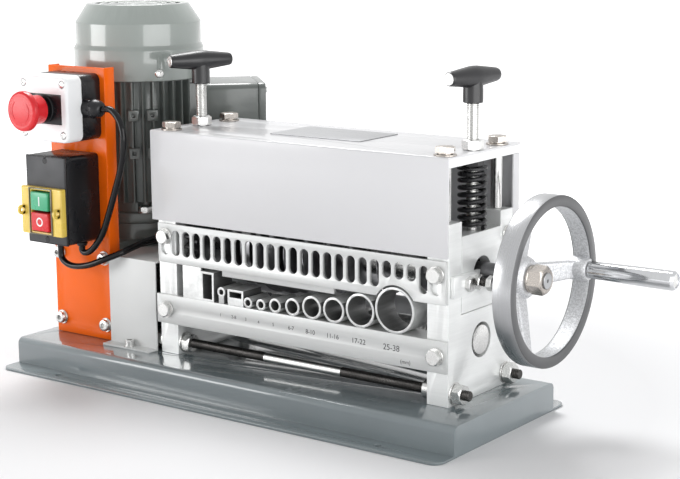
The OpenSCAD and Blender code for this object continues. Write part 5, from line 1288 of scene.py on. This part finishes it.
# ---------------------------------------------------------------- stage
class AddStage(PieceOperator):
    """Adds the floor, the lamps and the camera"""

    bl_idname = "stripper.add_stage"
    bl_label = "Stage"

    def build(self):
        stage = settings("stripper_stage")
        scene = bpy.context.scene
        clear()
        bpy.ops.mesh.primitive_plane_add(size=30, location=(0, 0, -0.0002))
        floor = bpy.context.object
        floor.name = "floor"
        floor.data.materials.append(self.floor_material(stage))
        world = bpy.data.worlds.new("Studio")
        scene.world = world
        world.use_nodes = True
        self.make_world(world.node_tree, stage)
        for name, place, aim, size, power in (
            ("key_lamp", (-1.0, -1.07, 0.4), (-0.1, 0, 0.3), (0.8, 0.54), stage.key),
            ("fill_lamp", (1.03, -0.26, 0.46), (0, 0, 0.7), (1.2, 0.68), stage.fill),
            ("top_lamp", (-0.7, 0.55, 1.6), (0, 0, 0.1), (0.8, 0.7), stage.top),
        ):
            lamp = bpy.data.lights.new(name, "AREA")
            lamp.shape, lamp.size, lamp.size_y, lamp.energy = "RECTANGLE", size[0], size[1], power
            item = bpy.data.objects.new(name, lamp)
            scene.collection.objects.link(item)
            item.visible_camera = False
            item.location = place
            item.rotation_euler = (Vector(aim) - Vector(place)).to_track_quat("-Z", "Y").to_euler()
        self.add_camera(scene, stage)
        scene.view_settings.view_transform = "Standard"

    def floor_material(self, stage):
        """Pale floor that fades into the white room for the camera and for gloss."""
        paint = bpy.data.materials.new("Studio floor")
        paint.use_nodes = True
        tree = paint.node_tree
        shader = tree.nodes["Principled BSDF"]
        shader.inputs["Roughness"].default_value = 0.6
        shader.inputs["Specular IOR Level"].default_value = 0.2
        grain = add_node(tree, "ShaderNodeTexNoise", Scale=3.0, Detail=2.0)
        mix = add_node(tree, "ShaderNodeMix", data_type="RGBA")
        tree.links.new(grain.outputs["Fac"], mix.inputs["Factor"])
        mix.inputs["A"].default_value = (*stage.floor, 1)
        mix.inputs["B"].default_value = (*lighter(stage.floor, 0.995), 1)
        tree.links.new(mix.outputs["Result"], shader.inputs["Base Color"])
        place = add_node(tree, "ShaderNodeTexCoord")
        reach = add_node(tree, "ShaderNodeVectorMath", operation="LENGTH")
        tree.links.new(place.outputs["Object"], reach.inputs[0])
        glow = add_node(tree, "ShaderNodeMapRange", clamp=True)
        for key, value in (("From Min", 0.4), ("From Max", 1.3), ("To Min", stage.glow), ("To Max", 1.0)):
            glow.inputs[key].default_value = value
        tree.links.new(reach.outputs["Value"], glow.inputs["Value"])
        tree.links.new(glow.outputs["Result"], shader.inputs["Emission Strength"])
        shader.inputs["Emission Color"].default_value = (1, 1, 1, 1)
        return paint

    def make_world(self, tree, stage):
        background = tree.nodes["Background"]
        background.inputs["Color"].default_value = (1, 1, 1, 1)
        background.inputs["Strength"].default_value = stage.sky
        shown = add_node(tree, "ShaderNodeBackground")
        shown.inputs["Color"].default_value = (1, 1, 1, 1)
        shown.inputs["Strength"].default_value = 1.0
        path = add_node(tree, "ShaderNodeLightPath")
        seen = add_node(tree, "ShaderNodeMath", operation="MAXIMUM")
        tree.links.new(path.outputs["Is Camera Ray"], seen.inputs[0])
        tree.links.new(path.outputs["Is Transmission Ray"], seen.inputs[1])
        either = add_node(tree, "ShaderNodeMath", operation="MAXIMUM")
        tree.links.new(seen.outputs[0], either.inputs[0])
        tree.links.new(path.outputs["Is Glossy Ray"], either.inputs[1])
        mix = add_node(tree, "ShaderNodeMixShader")
        tree.links.new(either.outputs[0], mix.inputs["Fac"])
        tree.links.new(background.outputs[0], mix.inputs[1])
        tree.links.new(shown.outputs[0], mix.inputs[2])
        tree.links.new(mix.outputs[0], tree.nodes["World Output"].inputs["Surface"])

    def add_camera(self, scene, stage):
        """The camera stands where the photographed angle puts it."""
        data = bpy.data.cameras.new("camera")
        data.lens, data.sensor_width = stage.lens, 36.0
        data.clip_start, data.clip_end = 0.05, 50.0
        item = bpy.data.objects.new("camera", data)
        scene.collection.objects.link(item)
        turn, pitch, roll = (math.radians(a) for a in (36.352, 11.108, 0.353))
        ahead = Vector((-math.sin(turn) * math.cos(pitch), math.cos(turn) * math.cos(pitch),
                -math.sin(pitch)))
        view = ahead.to_track_quat("-Z", "Y").to_matrix() @ Matrix.Rotation(-roll, 3, "Z")
        item.rotation_euler = view.to_euler()
        item.location = (1.06002, -1.31677, 0.48946)
        scene.camera = item


class StripperPanel(bpy.types.Panel):
    """Lists the pieces in the order they are added"""

    bl_idname = "VIEW3D_PT_stripper"
    bl_label = "Cable stripper"
    bl_space_type = "VIEW_3D"
    bl_region_type = "UI"
    bl_category = "Cable stripper"

    def draw(self, context):
        layout = self.layout
        for group in (context.scene.stripper_colours, context.scene.stripper_sizes,
                context.scene.stripper_stage):
            box = layout.box()
            for name in group.__annotations__:
                box.prop(group, name)
        for piece in PIECES:
            layout.operator(piece.bl_idname)


PIECES = (
    AddStage, AddFinishes, AddLeads, AddSheetMetal, AddPlates, AddDrive, AddControlBoxes, AddFasteners,
    AddTieRods, AddPressScrews, AddHandWheel, AddButtons, AddGlands, AddMarks,
)
GROUPS = {
    "stripper_colours": StripperColours,
    "stripper_sizes": StripperSizes,
    "stripper_stage": StripperStage,
}


def register():
    for name, group in GROUPS.items():
        bpy.utils.register_class(group)
        setattr(bpy.types.Scene, name, bpy.props.PointerProperty(type=group))
    for piece in PIECES:
        bpy.utils.register_class(piece)
    bpy.utils.register_class(StripperPanel)


def unregister():
    bpy.utils.unregister_class(StripperPanel)
    for piece in reversed(PIECES):
        bpy.utils.unregister_class(piece)
    for name, group in GROUPS.items():
        delattr(bpy.types.Scene, name)
        bpy.utils.unregister_class(group)


def main():
    register()
    for piece in PIECES:
        area, name = piece.bl_idname.split(".")
        getattr(getattr(bpy.ops, area), name)()


if __name__ == "__main__":
    main()
